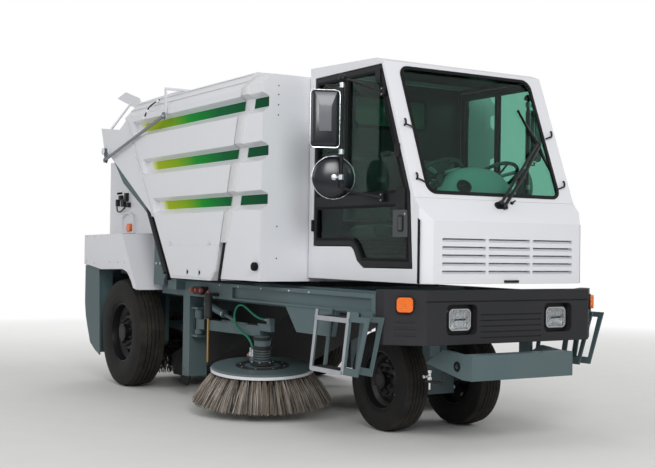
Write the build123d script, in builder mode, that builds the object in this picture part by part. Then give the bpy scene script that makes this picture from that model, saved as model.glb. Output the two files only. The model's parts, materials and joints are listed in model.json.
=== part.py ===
from build123d import *
from math import atan2, cos, degrees, dist, hypot, radians, sin, tan
import os

os.makedirs("parts", exist_ok=True)

# Street sweeper truck, in millimetres: +X forward, +Y to the driver's left, +Z up, ground at Z = 0.
# Stations along the truck are written as distances ahead of the rear axle.
rear_axle_x = -1772.5
wheelbase = 3430


def ahead(distance):
    return rear_axle_x + distance


def along(points):
    return [(ahead(x), z) for x, z in points]


# Driving dimensions
sides = {"right": -1, "left": 1}
rear_tyre_r = 527
rear_tyre_width = 280
rear_track_half = 1055
rear_rim_r = 290
front_tyre_r = 385
front_tyre_width = 215
front_track_half = 350
front_rim_r = 226
front_axle_x = ahead(wheelbase)
kingpin_r = 60
rear_spindle_r = 60
front_spindle_r = 40

rail_outer = 760
rail_width = 60
rail_bottom = 900
rail_top = 1080
beam_outer = 970
beam_bottom = 935
beam_top = 1070
beam_front_x = ahead(4128)
beam_rear_x = ahead(520)

hopper_half = 1173
hopper_roof = 2800
hopper_shoulder = 2660
chute_half = 900
wing_outer = 1166
wing_thickness = 18
groove_depth = 60
groove_tops = (2590, 2210, 1830)
groove_height = 155

tip_x = ahead(-520)
tip_z = 2350
pin_r = 30
running_gap = 0.05

broom_centre = (ahead(-500), 370)
broom_pin = (ahead(600), 560)
broom_pin_r = 20
gutter_pin = (ahead(1215), 900)
gutter_pin_r = 18

cab_half = 745
cab_rear_x = ahead(2862)
cab_seam_x = ahead(4320)
cab_front_x = ahead(4400)
cab_nose_half = 680
cab_floor = 1150
cab_roof_rear = 2805
cab_roof_front = 2770
cab_wall = 45


def flat(points, plane):
    with BuildSketch(plane, mode=Mode.PRIVATE) as face:
        with BuildLine():
            Polyline(*points, close=True)
        make_face()
    return face.sketch


def side_plane(y):
    return Plane.XZ.offset(-y)


def rod_end(start, end, radius):
    run = Vector(*end) - Vector(*start)
    with BuildSketch(Plane(origin=start, z_dir=run.normalized()), mode=Mode.PRIVATE) as face:
        Circle(radius)
    return face.sketch


# Chassis

with BuildPart() as main_frame:
    rail_rear_x = ahead(-960)
    rail_front_x = ahead(4120)
    rail_middle = rail_outer - rail_width / 2
    for side in sides.values():
        with Locations(((rail_rear_x + rail_front_x) / 2, side * rail_middle, (rail_bottom + rail_top) / 2)):
            Box(rail_front_x - rail_rear_x, rail_width, rail_top - rail_bottom)
    for station in (-900, 350, 1250, 3000, 4060):
        with Locations((ahead(station), 0, rail_top - 60)):
            Box(100, 2 * rail_outer - 2 * rail_width, 120)
    # Steering head between the rails over the front wheels
    with Locations((front_axle_x, 0, rail_top - 75)):
        Box(420, 2 * rail_outer - 2 * rail_width, 90)
    with Locations((front_axle_x, 0, rail_bottom + 40)):
        Cylinder(190, 80)
    with Locations((front_axle_x, 0, rail_bottom + 30)):
        Cylinder(kingpin_r + running_gap, 140, mode=Mode.SUBTRACT)
    # Push bar hangers, and the brackets that the main broom's arms hang from
    for side in sides.values():
        with Locations((ahead(4110), side * 421, 790)):
            Box(120, 28, 340)
        with Locations((broom_pin[0], side * 690, (broom_pin[1] + 960) / 2)):
            Box(90, 28, 1040 - broom_pin[1])
        with Locations((broom_pin[0], side * 662, broom_pin[1])):
            Cylinder(broom_pin_r, 60, rotation=(90, 0, 0))
main_frame.part.label = "main_frame"
export_step(main_frame.part, "parts/main_frame.step")

with BuildPart() as side_beams:
    beam_depth = 60
    beam_middle = (beam_bottom + beam_top) / 2
    beam_length = beam_front_x - beam_rear_x
    for side in sides.values():
        with Locations(((beam_front_x + beam_rear_x) / 2, side * (beam_outer - beam_depth / 2), beam_middle)):
            Box(beam_length, beam_depth, beam_top - beam_bottom)
        # Channel mouth on the outer face
        with Locations(((beam_front_x + ahead(1950)) / 2, side * beam_outer, beam_middle - 6)):
            Box(beam_front_x - ahead(1950) - 80, 2 * 28, beam_top - beam_bottom - 44, mode=Mode.SUBTRACT)
        # Outriggers to the rails
        for station in (570, 1075, 1900, 2750, 4070):
            with Locations((ahead(station), side * (rail_outer + beam_outer - beam_depth) / 2, beam_middle)):
                Box(90, beam_outer - beam_depth - rail_outer, 90)
        # Post behind the gutter broom
        with Locations((ahead(1075), side * 880, (200 + beam_bottom) / 2)):
            Box(140, 180, beam_bottom - 200)
        # Ears and pin that the gutter broom's arm swings on
        for height in (575, 825):
            with Locations((ahead(1205), side * gutter_pin[1], height)):
                Box(130, 100, 20)
        with Locations((gutter_pin[0], side * gutter_pin[1], 700)):
            Cylinder(gutter_pin_r, 260)
        # Deep bracket that carries the step
        bracket = along([(2880, 935), (3060, 740), (3560, 740), (3620, 935)])
        extrude(flat(bracket, side_plane(side * (beam_outer - 8))), amount=side * 40)
        # Lower pin bracket of the tipping cylinder
        foot = along([(860, 1070), (900, 1150), (1000, 1150), (1040, 1070), (1040, 990), (860, 990)])
        extrude(flat(foot, side_plane(side * 1060)), amount=side * 92)
        with Locations((ahead(950), side * 1100, 1110)):
            Cylinder(20, 84, rotation=(90, 0, 0))
side_beams.part.label = "side_beams"
export_step(side_beams.part, "parts/side_beams.step")

with BuildPart() as hopper_posts:
    post_inner = 975
    post_outer = 1050
    post_outline = along(
        [(500, 1070), (500, 1500), (300, 1705), (215, 1755), (-325, 2020), (-600, 2260), (-600, 2400),
         (-440, 2400), (-300, 2110), (215, 1865), (545, 1700), (700, 1500), (740, 1070)]
    )
    crank_drop = 95
    crank_reach = 55
    for side in sides.values():
        extrude(flat(post_outline, side_plane(side * post_inner)), amount=-side * (post_outer - post_inner))
        with Locations((ahead(620), side * (beam_outer + post_outer) / 2, 1050)):
            Box(240, post_outer - beam_outer, 60)
        with Locations((tip_x, side * post_inner, tip_z)):
            Cylinder(pin_r, 2 * (post_inner - chute_half) + 36, rotation=(90, 0, 0))
        with Locations((tip_x, side * (post_outer + 70), tip_z)):
            Cylinder(pin_r, 160, rotation=(90, 0, 0))
    # Crank on the right pin that holds the lid's link
    crank = [
        (tip_x - 35, tip_z + 30), (tip_x + 35, tip_z + 30),
        (tip_x + crank_reach + 28, tip_z - crank_drop), (tip_x + crank_reach, tip_z - crank_drop - 28),
        (tip_x + crank_reach - 28, tip_z - crank_drop),
    ]
    extrude(flat(crank, side_plane(-1176)), amount=14)
    with Locations((tip_x + crank_reach, -1201, tip_z - crank_drop)):
        Cylinder(10, 28, rotation=(90, 0, 0))
hopper_posts.part.label = "hopper_posts"
export_step(hopper_posts.part, "parts/hopper_posts.step")

with BuildPart() as drive_hubs:
    for side in sides.values():
        plate = along([(-110, 900), (-110, 440), (-60, 400), (60, 400), (110, 440), (110, 900)])
        extrude(flat(plate, side_plane(side * 715)), amount=-side * 40)
        with Locations((rear_axle_x, side * 835, rear_tyre_r)):
            Cylinder(108, 170, rotation=(90, 0, 0))
        with Locations((rear_axle_x, side * 1002, rear_tyre_r)):
            Cylinder(rear_spindle_r, 184, rotation=(90, 0, 0))
drive_hubs.part.label = "drive_hubs"
export_step(drive_hubs.part, "parts/drive_hubs.step")

with BuildPart() as engine_block:
    with Locations((ahead(-440), 0, 1455)):
        Box(780, 720, 730)
engine_block.part.label = "engine_block"
export_step(engine_block.part, "parts/engine_block.step")

with BuildPart() as rear_hood:
    hood_half = 930
    hood_base_half = 795
    skin = 25
    upper = along([(-1000, 1506), (-1000, 2270), (-720, 2270), (460, 1620), (460, 1506)])
    lower = along([(-1000, rail_top), (-1000, 1515), (460, 1515), (460, rail_top)])
    extrude(flat(upper, Plane.XZ), amount=hood_half, both=True)
    extrude(flat(lower, Plane.XZ), amount=hood_base_half, both=True)
    upper_room = along([(-975, 1531), (-975, 2245), (-727, 2245), (435, 1605), (435, 1531)])
    lower_room = along([(-975, 1000), (-975, 1535), (435, 1535), (435, 1000)])
    extrude(flat(upper_room, Plane.XZ), amount=hood_half - skin, both=True, mode=Mode.SUBTRACT)
    extrude(flat(lower_room, Plane.XZ), amount=hood_base_half - skin, both=True, mode=Mode.SUBTRACT)
rear_hood.part.label = "rear_hood"
export_step(rear_hood.part, "parts/rear_hood.step")

with BuildPart() as fenders:
    fender_outer = 1220
    fender_inner = 810
    fender_skin = 12
    fender_outline = along(
        [(-970, 1490), (80, 1502), (497, 964), (396, 980), (345, 1045), (237, 1129), (118, 1155), (-472, 1140),
         (-970, 1190)]
    )
    fender_room = along(
        [(-958, 1478), (74, 1490), (480, 966), (480, 900), (396, 900), (345, 1000), (237, 1080), (118, 1100),
         (-472, 1100), (-958, 1100)]
    )
    for side in sides.values():
        middle = side * (fender_outer + fender_inner) / 2
        extrude(flat(fender_outline, side_plane(middle)), amount=(fender_outer - fender_inner) / 2, both=True)
        extrude(
            flat(fender_room, side_plane(middle - side * fender_skin)),
            amount=(fender_outer - fender_inner) / 2, both=True, mode=Mode.SUBTRACT,
        )
fenders.part.label = "fenders"
export_step(fenders.part, "parts/fenders.step")

with BuildPart() as rear_skirt:
    skirt_half = 1190
    skirt_skin = 12
    skirt_side = along(
        [(-1015, 1172), (-1015, 778), (-985, 640), (-925, 518), (-842, 366), (-700, 300), (-560, 256), (-600, 1172)]
    )
    skirt_room = along(
        [(-1003, 1200), (-1003, 780), (-973, 645), (-914, 523), (-850, 392), (-850, 100), (-400, 100), (-400, 1200)]
    )
    extrude(flat(skirt_side, Plane.XZ), amount=skirt_half, both=True)
    extrude(flat(skirt_room, Plane.XZ), amount=skirt_half - skirt_skin, both=True, mode=Mode.SUBTRACT)
    for side in sides.values():
        with Locations((ahead(-606), side * (skirt_half - 75), 720)):
            Box(12, 150, 880)
        # Hanger plates out from the rails
        with Locations((ahead(-940), side * (rail_outer + skirt_half) / 2, 1050)):
            Box(140, skirt_half - rail_outer, 12)
rear_skirt.part.label = "rear_skirt"
export_step(rear_skirt.part, "parts/rear_skirt.step")

with BuildPart() as elevator:
    elevator_half = 600
    casing = along(
        [(-20, 90), (-60, 290), (2100, 1085), (2640, 1085), (2640, 2150), (2800, 2150), (2800, 1000), (320, 90)]
    )
    extrude(flat(casing, Plane.XZ), amount=elevator_half, both=True)
elevator.part.label = "elevator"
export_step(elevator.part, "parts/elevator.step")

# Hopper that tips to the rear, and the fixed tank cover between it and the cab

lid_hinge_x = ahead(1020)
lid_hinge_z = 2822
lid_rod_r = 12
lid_lever = 250
link_pin_r = 10


def groove_face(top, depth_plane_x, side):
    low = top - groove_height
    outer = side * (hopper_half + 5)
    inner = side * (hopper_half - groove_depth)
    return flat(
        [(outer, top + 2), (inner, top - 26), (inner, low + 44), (outer, low - 3)],
        Plane(origin=(depth_plane_x, 0, 0), x_dir=(0, 1, 0), z_dir=(1, 0, 0)),
    )


body_outline = along(
    [(0, 2800), (0, 2640), (127, 2580), (770, 1650), (1170, 1100), (1980, 1100), (2072, 1180), (2500, 2660),
     (2500, 2800)]
)
body_room = along(
    [(-40, 2785), (-40, 2500), (130, 2440), (800, 1690), (1210, 1140), (1960, 1140), (2035, 1210), (2460, 2660),
     (2460, 2785)]
)
chute_outline = along([(-670, 2600), (-575, 2370), (770, 1640), (1000, 1640), (1000, 2560), (-160, 2545)])
chute_room = along([(-700, 2640), (-620, 2420), (790, 1665), (1100, 1665), (1100, 2700), (-100, 2640)])
chute_wall = 30
with BuildPart() as hopper:
    extrude(flat(body_outline, Plane.XZ), amount=hopper_half, both=True)
    shoulder_edges = hopper.edges().filter_by(Axis.X).group_by(Axis.Z)[-1]
    chamfer(shoulder_edges, hopper_roof - hopper_shoulder, 155)
    extrude(flat(chute_room, Plane.XZ), amount=chute_half - chute_wall, both=True, mode=Mode.SUBTRACT)
    extrude(flat(body_room, Plane.XZ), amount=hopper_half - groove_depth - 30, both=True, mode=Mode.SUBTRACT)
    # Mouth under the lid, and the slot in the front wall that the elevator throws through
    mouth = along([(40, 2700), (40, 2900), (960, 2900), (960, 2700)])
    extrude(flat(mouth, Plane.XZ), amount=920, both=True, mode=Mode.SUBTRACT)
    throw_slot = along([(2300, 2200), (2300, 2600), (2600, 2600), (2600, 2200)])
    extrude(flat(throw_slot, Plane.XZ), amount=580, both=True, mode=Mode.SUBTRACT)
    # Lugs that hold the lid's hinge rod
    for lug_y in (-880, 0, 880):
        with Locations((ahead(1020), lug_y, 2818)):
            Box(50, 24, 50)
        with Locations((ahead(1020), lug_y, lid_hinge_z)):
            Cylinder(lid_rod_r + running_gap, 40, rotation=(90, 0, 0), mode=Mode.SUBTRACT)
    # Horizontal grooves in both sides
    for top in groove_tops:
        start = ahead(127 + (2580 - top) / 1480 * 1043 + 90)
        for side in sides.values():
            extrude(groove_face(top, start, side), amount=2600, mode=Mode.SUBTRACT)
    # Access panels low on both sides
    access_panel = along([(975, 1395), (2118, 1395), (2062, 1185), (1970, 1120), (1180, 1120)])
    for side in sides.values():
        extrude(flat(access_panel, side_plane(side * hopper_half)), amount=-side * 4)
hopper.part.label = "hopper"
export_step(hopper.part, "parts/hopper.step")

with BuildPart() as hopper_chute:
    # Leads the load over the engine when the hopper tips, and hangs on the tipping pins
    extrude(flat(chute_outline, Plane.XZ), amount=chute_half, both=True)
    extrude(flat(chute_room, Plane.XZ), amount=chute_half - chute_wall, both=True, mode=Mode.SUBTRACT)
    extrude(flat(body_outline, Plane.XZ), amount=hopper_half, both=True, mode=Mode.SUBTRACT)
    for side in sides.values():
        with Locations((tip_x, side * (chute_half + 15), tip_z)):
            Cylinder(60, 30, rotation=(90, 0, 0))
            Cylinder(pin_r + running_gap, 100, rotation=(90, 0, 0), mode=Mode.SUBTRACT)
hopper_chute.part.label = "hopper_chute"
export_step(hopper_chute.part, "parts/hopper_chute.step")

with BuildPart() as hopper_wings:
    # Plates outside the posts, with ear plates above them on stays
    wing = along(
        [(-670, 2600), (-575, 2371), (-430, 2310), (755, 1648), (830, 1610), (200, 2560), (0, 2720), (0, 2615),
         (-160, 2545)]
    )
    ear = along([(-610, 2920), (-390, 2960), (-30, 2862), (0, 2830), (0, 2735)])
    for side in sides.values():
        extrude(flat(wing, side_plane(side * wing_outer)), amount=side * wing_thickness)
        extrude(flat(body_outline, Plane.XZ), amount=hopper_half, both=True, mode=Mode.SUBTRACT)
        extrude(flat(ear, side_plane(side * 1018)), amount=side * 12)
        stay_low = (ahead(-440), side * 1157, 2560)
        stay_high = (ahead(-250), side * 1014, 2830)
        extrude(rod_end(stay_low, stay_high, 11), amount=dist(stay_low, stay_high))
        with Locations((tip_x, side * (wing_outer - wing_thickness / 2), tip_z)):
            Cylinder(60, 30, rotation=(90, 0, 0))
            Cylinder(pin_r + running_gap, 100, rotation=(90, 0, 0), mode=Mode.SUBTRACT)
        # Seat for the tipping cylinder's rod pin
        with Locations((ahead(170), side * 1145, 2200)):
            Cylinder(45, 10, rotation=(90, 0, 0))
hopper_wings.part.label = "hopper_wings"
export_step(hopper_wings.part, "parts/hopper_wings.step")

with BuildPart() as hopper_lid:
    lid = along([(-6, 2806), (985, 2806), (1010, 2822), (1000, 2834), (-20, 2818), (-20, 2660), (-6, 2660)])
    extrude(flat(lid, Plane.XZ), amount=998, both=True)
    # Notches round the hinge lugs
    for lug_y in (-880, 0, 880):
        with Locations((ahead(1000), lug_y, 2820)):
            Box(60, 40, 60, mode=Mode.SUBTRACT)
    with Locations((lid_hinge_x, -83, lid_hinge_z)):
        Cylinder(lid_rod_r, 2214, rotation=(90, 0, 0))
    lever = [
        (lid_hinge_x - 22, lid_hinge_z), (lid_hinge_x + 22, lid_hinge_z),
        (lid_hinge_x + 16, lid_hinge_z - lid_lever - 16), (lid_hinge_x - 16, lid_hinge_z - lid_lever - 16),
    ]
    extrude(flat(lever, side_plane(-1180)), amount=10)
    with Locations((lid_hinge_x, -1200, lid_hinge_z - lid_lever)):
        Cylinder(link_pin_r, 28, rotation=(90, 0, 0))
hopper_lid.part.label = "hopper_lid"
export_step(hopper_lid.part, "parts/hopper_lid.step")

with BuildPart() as lid_link:
    link_start = (tip_x + crank_reach, tip_z - crank_drop)
    link_end = (lid_hinge_x, lid_hinge_z - lid_lever)
    link_run = (link_end[0] - link_start[0], link_end[1] - link_start[1])
    link_length = hypot(*link_run)
    link_middle = (link_start[0] + link_run[0] / 2, link_start[1] + link_run[1] / 2, 0)
    link_tilt = degrees(atan2(link_run[1], link_run[0]))
    # The far eye is oversize, because the four-bar loop is open there
    with BuildSketch(Plane.XZ.offset(1196)):
        with Locations(link_start):
            Circle(24)
        with Locations(link_end):
            Circle(34)
        with Locations(Location(link_middle, (0, 0, link_tilt))):
            Rectangle(link_length - 20, 26)
        with Locations(link_start):
            Circle(link_pin_r + running_gap, mode=Mode.SUBTRACT)
        with Locations(link_end):
            Circle(link_pin_r + 12, mode=Mode.SUBTRACT)
    extrude(amount=14)
lid_link.part.label = "lid_link"
export_step(lid_link.part, "parts/lid_link.step")

# Tipping cylinders, closed length between the frame pin and the wing's pin
foot_pin = (ahead(950), 1110)
rod_pin = (ahead(170), 2200)
cylinder_run = (rod_pin[0] - foot_pin[0], rod_pin[1] - foot_pin[1])
cylinder_closed = hypot(*cylinder_run)
cylinder_y = 1104
barrel_length = 980
cylinder_up = (cylinder_run[0] / cylinder_closed, 0, cylinder_run[1] / cylinder_closed)


def cylinder_plane(side):
    return Plane(origin=(foot_pin[0], side * cylinder_y, foot_pin[1]), x_dir=(0, 1, 0), z_dir=cylinder_up)


with BuildPart() as tip_barrels:
    for side in sides.values():
        with BuildSketch(cylinder_plane(side).offset(30)):
            Circle(36)
        extrude(amount=barrel_length - 30)
        with BuildSketch(cylinder_plane(side).offset(60)):
            Circle(24 + running_gap)
        extrude(amount=barrel_length, mode=Mode.SUBTRACT)
        with Locations((foot_pin[0], side * cylinder_y, foot_pin[1])):
            Cylinder(40, 44, rotation=(90, 0, 0))
        with Locations((foot_pin[0], side * cylinder_y, foot_pin[1])):
            Cylinder(20 + running_gap, 90, rotation=(90, 0, 0), mode=Mode.SUBTRACT)
tip_barrels.part.label = "tip_barrels"
export_step(tip_barrels.part, "parts/tip_barrels.step")

with BuildPart() as tip_rods:
    for side in sides.values():
        with BuildSketch(cylinder_plane(side).offset(70)):
            Circle(24)
        extrude(amount=cylinder_closed - 70 - 20)
        # The eye keeps its own pin, which stops short of the hopper: the loop is open there
        with Locations((rod_pin[0], side * cylinder_y, rod_pin[1])):
            Cylinder(38, 30, rotation=(90, 0, 0))
        with Locations((rod_pin[0], side * (cylinder_y + 5), rod_pin[1])):
            Cylinder(18, 50, rotation=(90, 0, 0))
tip_rods.part.label = "tip_rods"
export_step(tip_rods.part, "parts/tip_rods.step")

with BuildPart() as front_cover:
    cover_roof = 2740
    cover_front_x = 2850
    cover_outline = along(
        [(2135, 1120), (2560, 2600), (2560, cover_roof), (cover_front_x, cover_roof), (cover_front_x, 1120)]
    )
    cover_room = along(
        [(2000, 1000), (2500, 2600), (2500, cover_roof - 20), (cover_front_x - 20, cover_roof - 20),
         (cover_front_x - 20, 1000)]
    )
    extrude(flat(cover_outline, Plane.XZ), amount=hopper_half, both=True)
    chamfer(front_cover.edges().filter_by(Axis.X).group_by(Axis.Z)[-1], 80, 90)
    extrude(flat(cover_room, Plane.XZ), amount=hopper_half - groove_depth - 20, both=True, mode=Mode.SUBTRACT)
    for top in groove_tops:
        for side in sides.values():
            extrude(groove_face(top, ahead(1900), side), amount=1200, mode=Mode.SUBTRACT)
front_cover.part.label = "front_cover"
export_step(front_cover.part, "parts/front_cover.step")

# Cab

cab_profile = along(
    [(2862, cab_floor), (4400, cab_floor), (4400, 1585), (4262, 1745), (3868, 2740), (3780, cab_roof_front),
     (2862, cab_roof_rear)]
)
cab_plan = [
    (cab_rear_x, -cab_half), (cab_seam_x, -cab_half), (cab_front_x, -cab_nose_half),
    (cab_front_x, cab_nose_half), (cab_seam_x, cab_half), (cab_rear_x, cab_half),
]
room_half = cab_half - cab_wall
cab_room_profile = along(
    [(2907, cab_floor + 60), (4355, cab_floor + 60), (4355, 1570), (4217, 1730), (3823, 2700), (3750, 2726),
     (2907, cab_roof_rear - 45)]
)
cab_room_plan = [
    (ahead(2800), -room_half), (cab_seam_x - 15, -room_half), (ahead(4450), -cab_nose_half + 70),
    (ahead(4450), cab_nose_half - 70), (cab_seam_x - 15, room_half), (ahead(2800), room_half),
]
door_outline = along(
    [(2940, 1408), (2940, 2712), (3842, 2712), (4208, 1773), (4242, 1258), (3640, 1252), (3560, 1300), (3510, 1380),
     (3470, 1408)]
)
nose_region = along([(4320, 1100), (4320, 1560), (4262, 1640), (4262, 1800), (4500, 1800), (4500, 1100)])
door_gap = 8
screen_tilt = atan2(394, 995)
screen_plane = Plane(origin=(ahead(4262), 0, 1745), x_dir=(0, 1, 0), z_dir=(cos(screen_tilt), 0, sin(screen_tilt)))
screen_width = 1230
screen_height = 990
screen_middle = 535
screen_corner = 70
rear_window_middle = 2505
rear_window_size = (720, 250, 45)


def wide_outline(points, margin):
    with BuildSketch(Plane.XZ, mode=Mode.PRIVATE) as face:
        with BuildLine():
            Polyline(*points, close=True)
        make_face()
        offset(amount=margin, kind=Kind.INTERSECTION)
    return face.sketch


with BuildPart() as cab_body:
    extrude(flat(cab_profile, Plane.XZ), amount=900, both=True)
    extrude(flat(cab_plan, Plane.XY), amount=3200, mode=Mode.INTERSECT)

with BuildPart() as cab_room:
    extrude(flat(cab_room_profile, Plane.XZ), amount=900, both=True)
    extrude(flat(cab_room_plan, Plane.XY), amount=3200, mode=Mode.INTERSECT)

with BuildPart() as cab_shell:
    add(cab_body.part)
    add(cab_room.part, mode=Mode.SUBTRACT)
    extrude(wide_outline(door_outline, door_gap), amount=1000, both=True, mode=Mode.SUBTRACT)
    extrude(flat(nose_region, Plane.XZ), amount=1000, both=True, mode=Mode.SUBTRACT)
    with BuildSketch(screen_plane.offset(-150)):
        with Locations((0, screen_middle)):
            RectangleRounded(screen_width, screen_height, screen_corner)
    extrude(amount=300, mode=Mode.SUBTRACT)
    with BuildSketch(Plane.YZ.offset(cab_rear_x - 20)):
        with Locations((0, rear_window_middle)):
            RectangleRounded(*rear_window_size)
    extrude(amount=120, mode=Mode.SUBTRACT)
cab_shell.part.label = "cab_shell"
export_step(cab_shell.part, "parts/cab_shell.step")

with BuildPart() as cab_nose:
    add(cab_body.part)
    add(cab_room.part, mode=Mode.SUBTRACT)
    extrude(flat(nose_region, Plane.XZ), amount=1000, both=True, mode=Mode.INTERSECT)
    # Grille slots
    with BuildSketch(Plane.YZ.offset(cab_front_x - 80)):
        with Locations((0, 1342)):
            with GridLocations(410, 55.5, 3, 5):
                Rectangle(385, 22)
    extrude(amount=160, mode=Mode.SUBTRACT)
cab_nose.part.label = "cab_nose"
export_step(cab_nose.part, "parts/cab_nose.step")

with BuildPart() as cab_glass:
    with BuildSketch(screen_plane.offset(-22)):
        with Locations((0, screen_middle)):
            RectangleRounded(screen_width, screen_height, screen_corner)
    extrude(amount=8)
    with BuildSketch(Plane.YZ.offset(cab_rear_x + 20)):
        with Locations((0, rear_window_middle)):
            RectangleRounded(*rear_window_size)
    extrude(amount=8)
cab_glass.part.label = "cab_glass"
export_step(cab_glass.part, "parts/cab_glass.step")

with BuildPart() as dashboard:
    dash = along([(4340, 1211), (4340, 1500), (4190, 1720), (3990, 1690), (3960, 1560), (4150, 1420), (4200, 1211)])
    extrude(flat(dash, Plane.XZ), amount=600, both=True)
    # Instrument hump in the middle, close behind the windshield
    hump = [
        (-340, 1650), (-335, 1770), (-285, 1860), (-200, 1940), (-100, 1985), (100, 1985), (200, 1940), (285, 1860),
        (335, 1770), (340, 1650),
    ]
    extrude(flat(hump, Plane.YZ.offset(ahead(3960))), amount=80)
    wheel_tilt = radians(35)
    wheel_reach = 300
    wheel_rim = 18
    for side in sides.values():
        column = Plane(
            origin=(ahead(4080), side * 270, 1690), x_dir=(0, 1, 0), z_dir=(-sin(wheel_tilt), 0, cos(wheel_tilt)),
        )
        with BuildSketch(column):
            Circle(26)
        extrude(amount=wheel_reach)
        # Hand wheel: rim, three spokes and hub
        with BuildSketch(column.offset(wheel_reach - wheel_rim / 2)):
            Circle(182 + wheel_rim / 2)
            Circle(182 - wheel_rim / 2, mode=Mode.SUBTRACT)
        extrude(amount=wheel_rim)
        with BuildSketch(column.offset(wheel_reach - 8)):
            Circle(45)
            with PolarLocations(105, 3, start_angle=90):
                Rectangle(160, 26)
        extrude(amount=16)
dashboard.part.label = "dashboard"
export_step(dashboard.part, "parts/dashboard.step")

with BuildPart() as seats:
    for side in sides.values():
        with Locations((ahead(3260), side * 340, 1330)):
            Box(380, 380, 240)
        cushion = along(
            [(3060, 1450), (3520, 1470), (3520, 1580), (3160, 1570), (3080, 2160), (2970, 2150), (3030, 1450)]
        )
        extrude(flat(cushion, side_plane(side * 340)), amount=240, both=True)
seats.part.label = "seats"
export_step(seats.part, "parts/seats.step")

door_hinge = (2936, cab_half + 12)
mirror_feet = ((3810, 2640), (4060, 2080))
for name, side in sides.items():
    # A full glass door with a dark frame, hung at its rear edge
    with BuildPart() as door:
        extrude(flat(door_outline, side_plane(side * (cab_half - 38))), amount=-side * 38)
        panes = (
            [(2990, 1795), (2990, 2662), (3380, 2662), (3380, 1795)],
            [(3410, 1795), (3410, 2662), (3808, 2662), (4146, 1795)],
            [(2990, 1690), (2990, 1458), (3495, 1458), (3560, 1410), (3630, 1312), (4186, 1312), (4164, 1690)],
        )
        for pane in panes:
            extrude(flat(along(pane), side_plane(0)), amount=-side * 900, mode=Mode.SUBTRACT)
        # Hinge knuckles on their leaves, and the latch plate
        for height in (1560, 2560):
            with Locations((ahead(door_hinge[0]), side * door_hinge[1], height)):
                Cylinder(11, 90)
            with Locations((ahead(door_hinge[0] + 30), side * (cab_half + 5), height)):
                Box(60, 10, 90)
        with Locations((ahead(4110), side * (cab_half + 5), 1740)):
            Box(110, 10, 150)
        # Pads that the mirror's arms are bolted to
        for reach, height in mirror_feet:
            with Locations((ahead(reach), side * (cab_half + 5), height)):
                Box(60, 10, 90)
    door.part.label = f"door_{name}"
    export_step(door.part, f"parts/door_{name}.step")

    with BuildPart() as door_glass:
        for pane in panes:
            extrude(flat(along(pane), side_plane(side * (cab_half - 22))), amount=-side * 6)
    door_glass.part.label = f"door_glass_{name}"
    export_step(door_glass.part, f"parts/door_glass_{name}.step")

    with BuildPart() as mirror:
        rod_x = ahead(3560)
        rod_y = side * 950
        with Locations((rod_x - 35, side * 1041, 2355)):
            Box(70, 220, 470)
        chamfer(mirror.edges().group_by(Axis.X)[-1], 22)
        with Locations((rod_x + 30, side * 990, 1915)):
            Cylinder(150, 50, rotation=(0, 90, 0))
        chamfer(mirror.edges().filter_by(GeomType.CIRCLE).sort_by(Axis.X)[-1], 20)
        with Locations((rod_x, rod_y, 2240)):
            Cylinder(13, 800)
        for reach, height in mirror_feet:
            arm_foot = (ahead(reach), side * (cab_half + 26), height)
            arm_tip = (rod_x, rod_y, height)
            extrude(rod_end(arm_tip, arm_foot, 11), amount=dist(arm_tip, arm_foot))
            with Locations((ahead(reach), side * (cab_half + 20), height)):
                Box(60, 20, 60)
    mirror.part.label = f"mirror_{name}"
    export_step(mirror.part, f"parts/mirror_{name}.step")

# Front end

with BuildPart() as bumper:
    bumper_bottom = 735
    bumper_top = 1108
    bumper_outline = [
        (ahead(4225), -962), (ahead(4425), -745), (ahead(4425), 745), (ahead(4225), 962),
        (ahead(4130), 962), (ahead(4300), 720), (ahead(4300), -720), (ahead(4130), -962),
    ]
    extrude(flat(bumper_outline, Plane.XY.offset(bumper_bottom)), amount=bumper_top - bumper_bottom)
    with BuildSketch(Plane.YZ.offset(ahead(4365))):
        for side in sides.values():
            with Locations((side * 445, 905)):
                RectangleRounded(270, 210, 40)
    extrude(amount=100, mode=Mode.SUBTRACT)
    # Ribs pressed in between the lamps, and the line under the upper lip
    for height in (775, 815, 855, 895, 935):
        with Locations((ahead(4425), 0, height)):
            Box(12, 560, 8, mode=Mode.SUBTRACT)
    with Locations((ahead(4425), 0, 1030)):
        Box(16, 1600, 10, mode=Mode.SUBTRACT)
bumper.part.label = "bumper"
export_step(bumper.part, "parts/bumper.step")

with BuildPart() as headlamps:
    for side in sides.values():
        with Locations((ahead(4385), side * 445, 905)):
            Box(40, 190, 150)
headlamps.part.label = "headlamps"
export_step(headlamps.part, "parts/headlamps.step")

with BuildPart() as marker_lamps:
    for side in sides.values():
        marker_plane = Plane(origin=(ahead(4325), side * 853.5, 1010), x_dir=(0, 0, 1), z_dir=(217, side * 200, 0))
        with BuildSketch(marker_plane):
            RectangleRounded(100, 110, 25)
        extrude(amount=35)
        # Round lamp on the hood's side
        with Locations((ahead(-388), side * (hood_half + 20), 1567)):
            Cylinder(45, 40, rotation=(90, 0, 0))
marker_lamps.part.label = "marker_lamps"
export_step(marker_lamps.part, "parts/marker_lamps.step")

with BuildPart() as tail_lamps:
    for side in sides.values():
        with Locations((ahead(-1007.5), side * 660, 1310)):
            Box(15, 110, 260)
tail_lamps.part.label = "tail_lamps"
export_step(tail_lamps.part, "parts/tail_lamps.step")

with BuildPart() as push_bar:
    with Locations((ahead(4505), 0, 583)):
        Box(110, 926, 174)
    arm_outline = along([(4040, 574), (4250, 690), (4455, 670), (4455, 496)])
    for side in sides.values():
        extrude(flat(arm_outline, side_plane(side * 435)), amount=-side * 28)
        # Tow pin hole
        with Locations((ahead(4400), side * 449, 583)):
            Cylinder(16, 40, rotation=(90, 0, 0), mode=Mode.SUBTRACT)
push_bar.part.label = "push_bar"
export_step(push_bar.part, "parts/push_bar.step")

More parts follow.
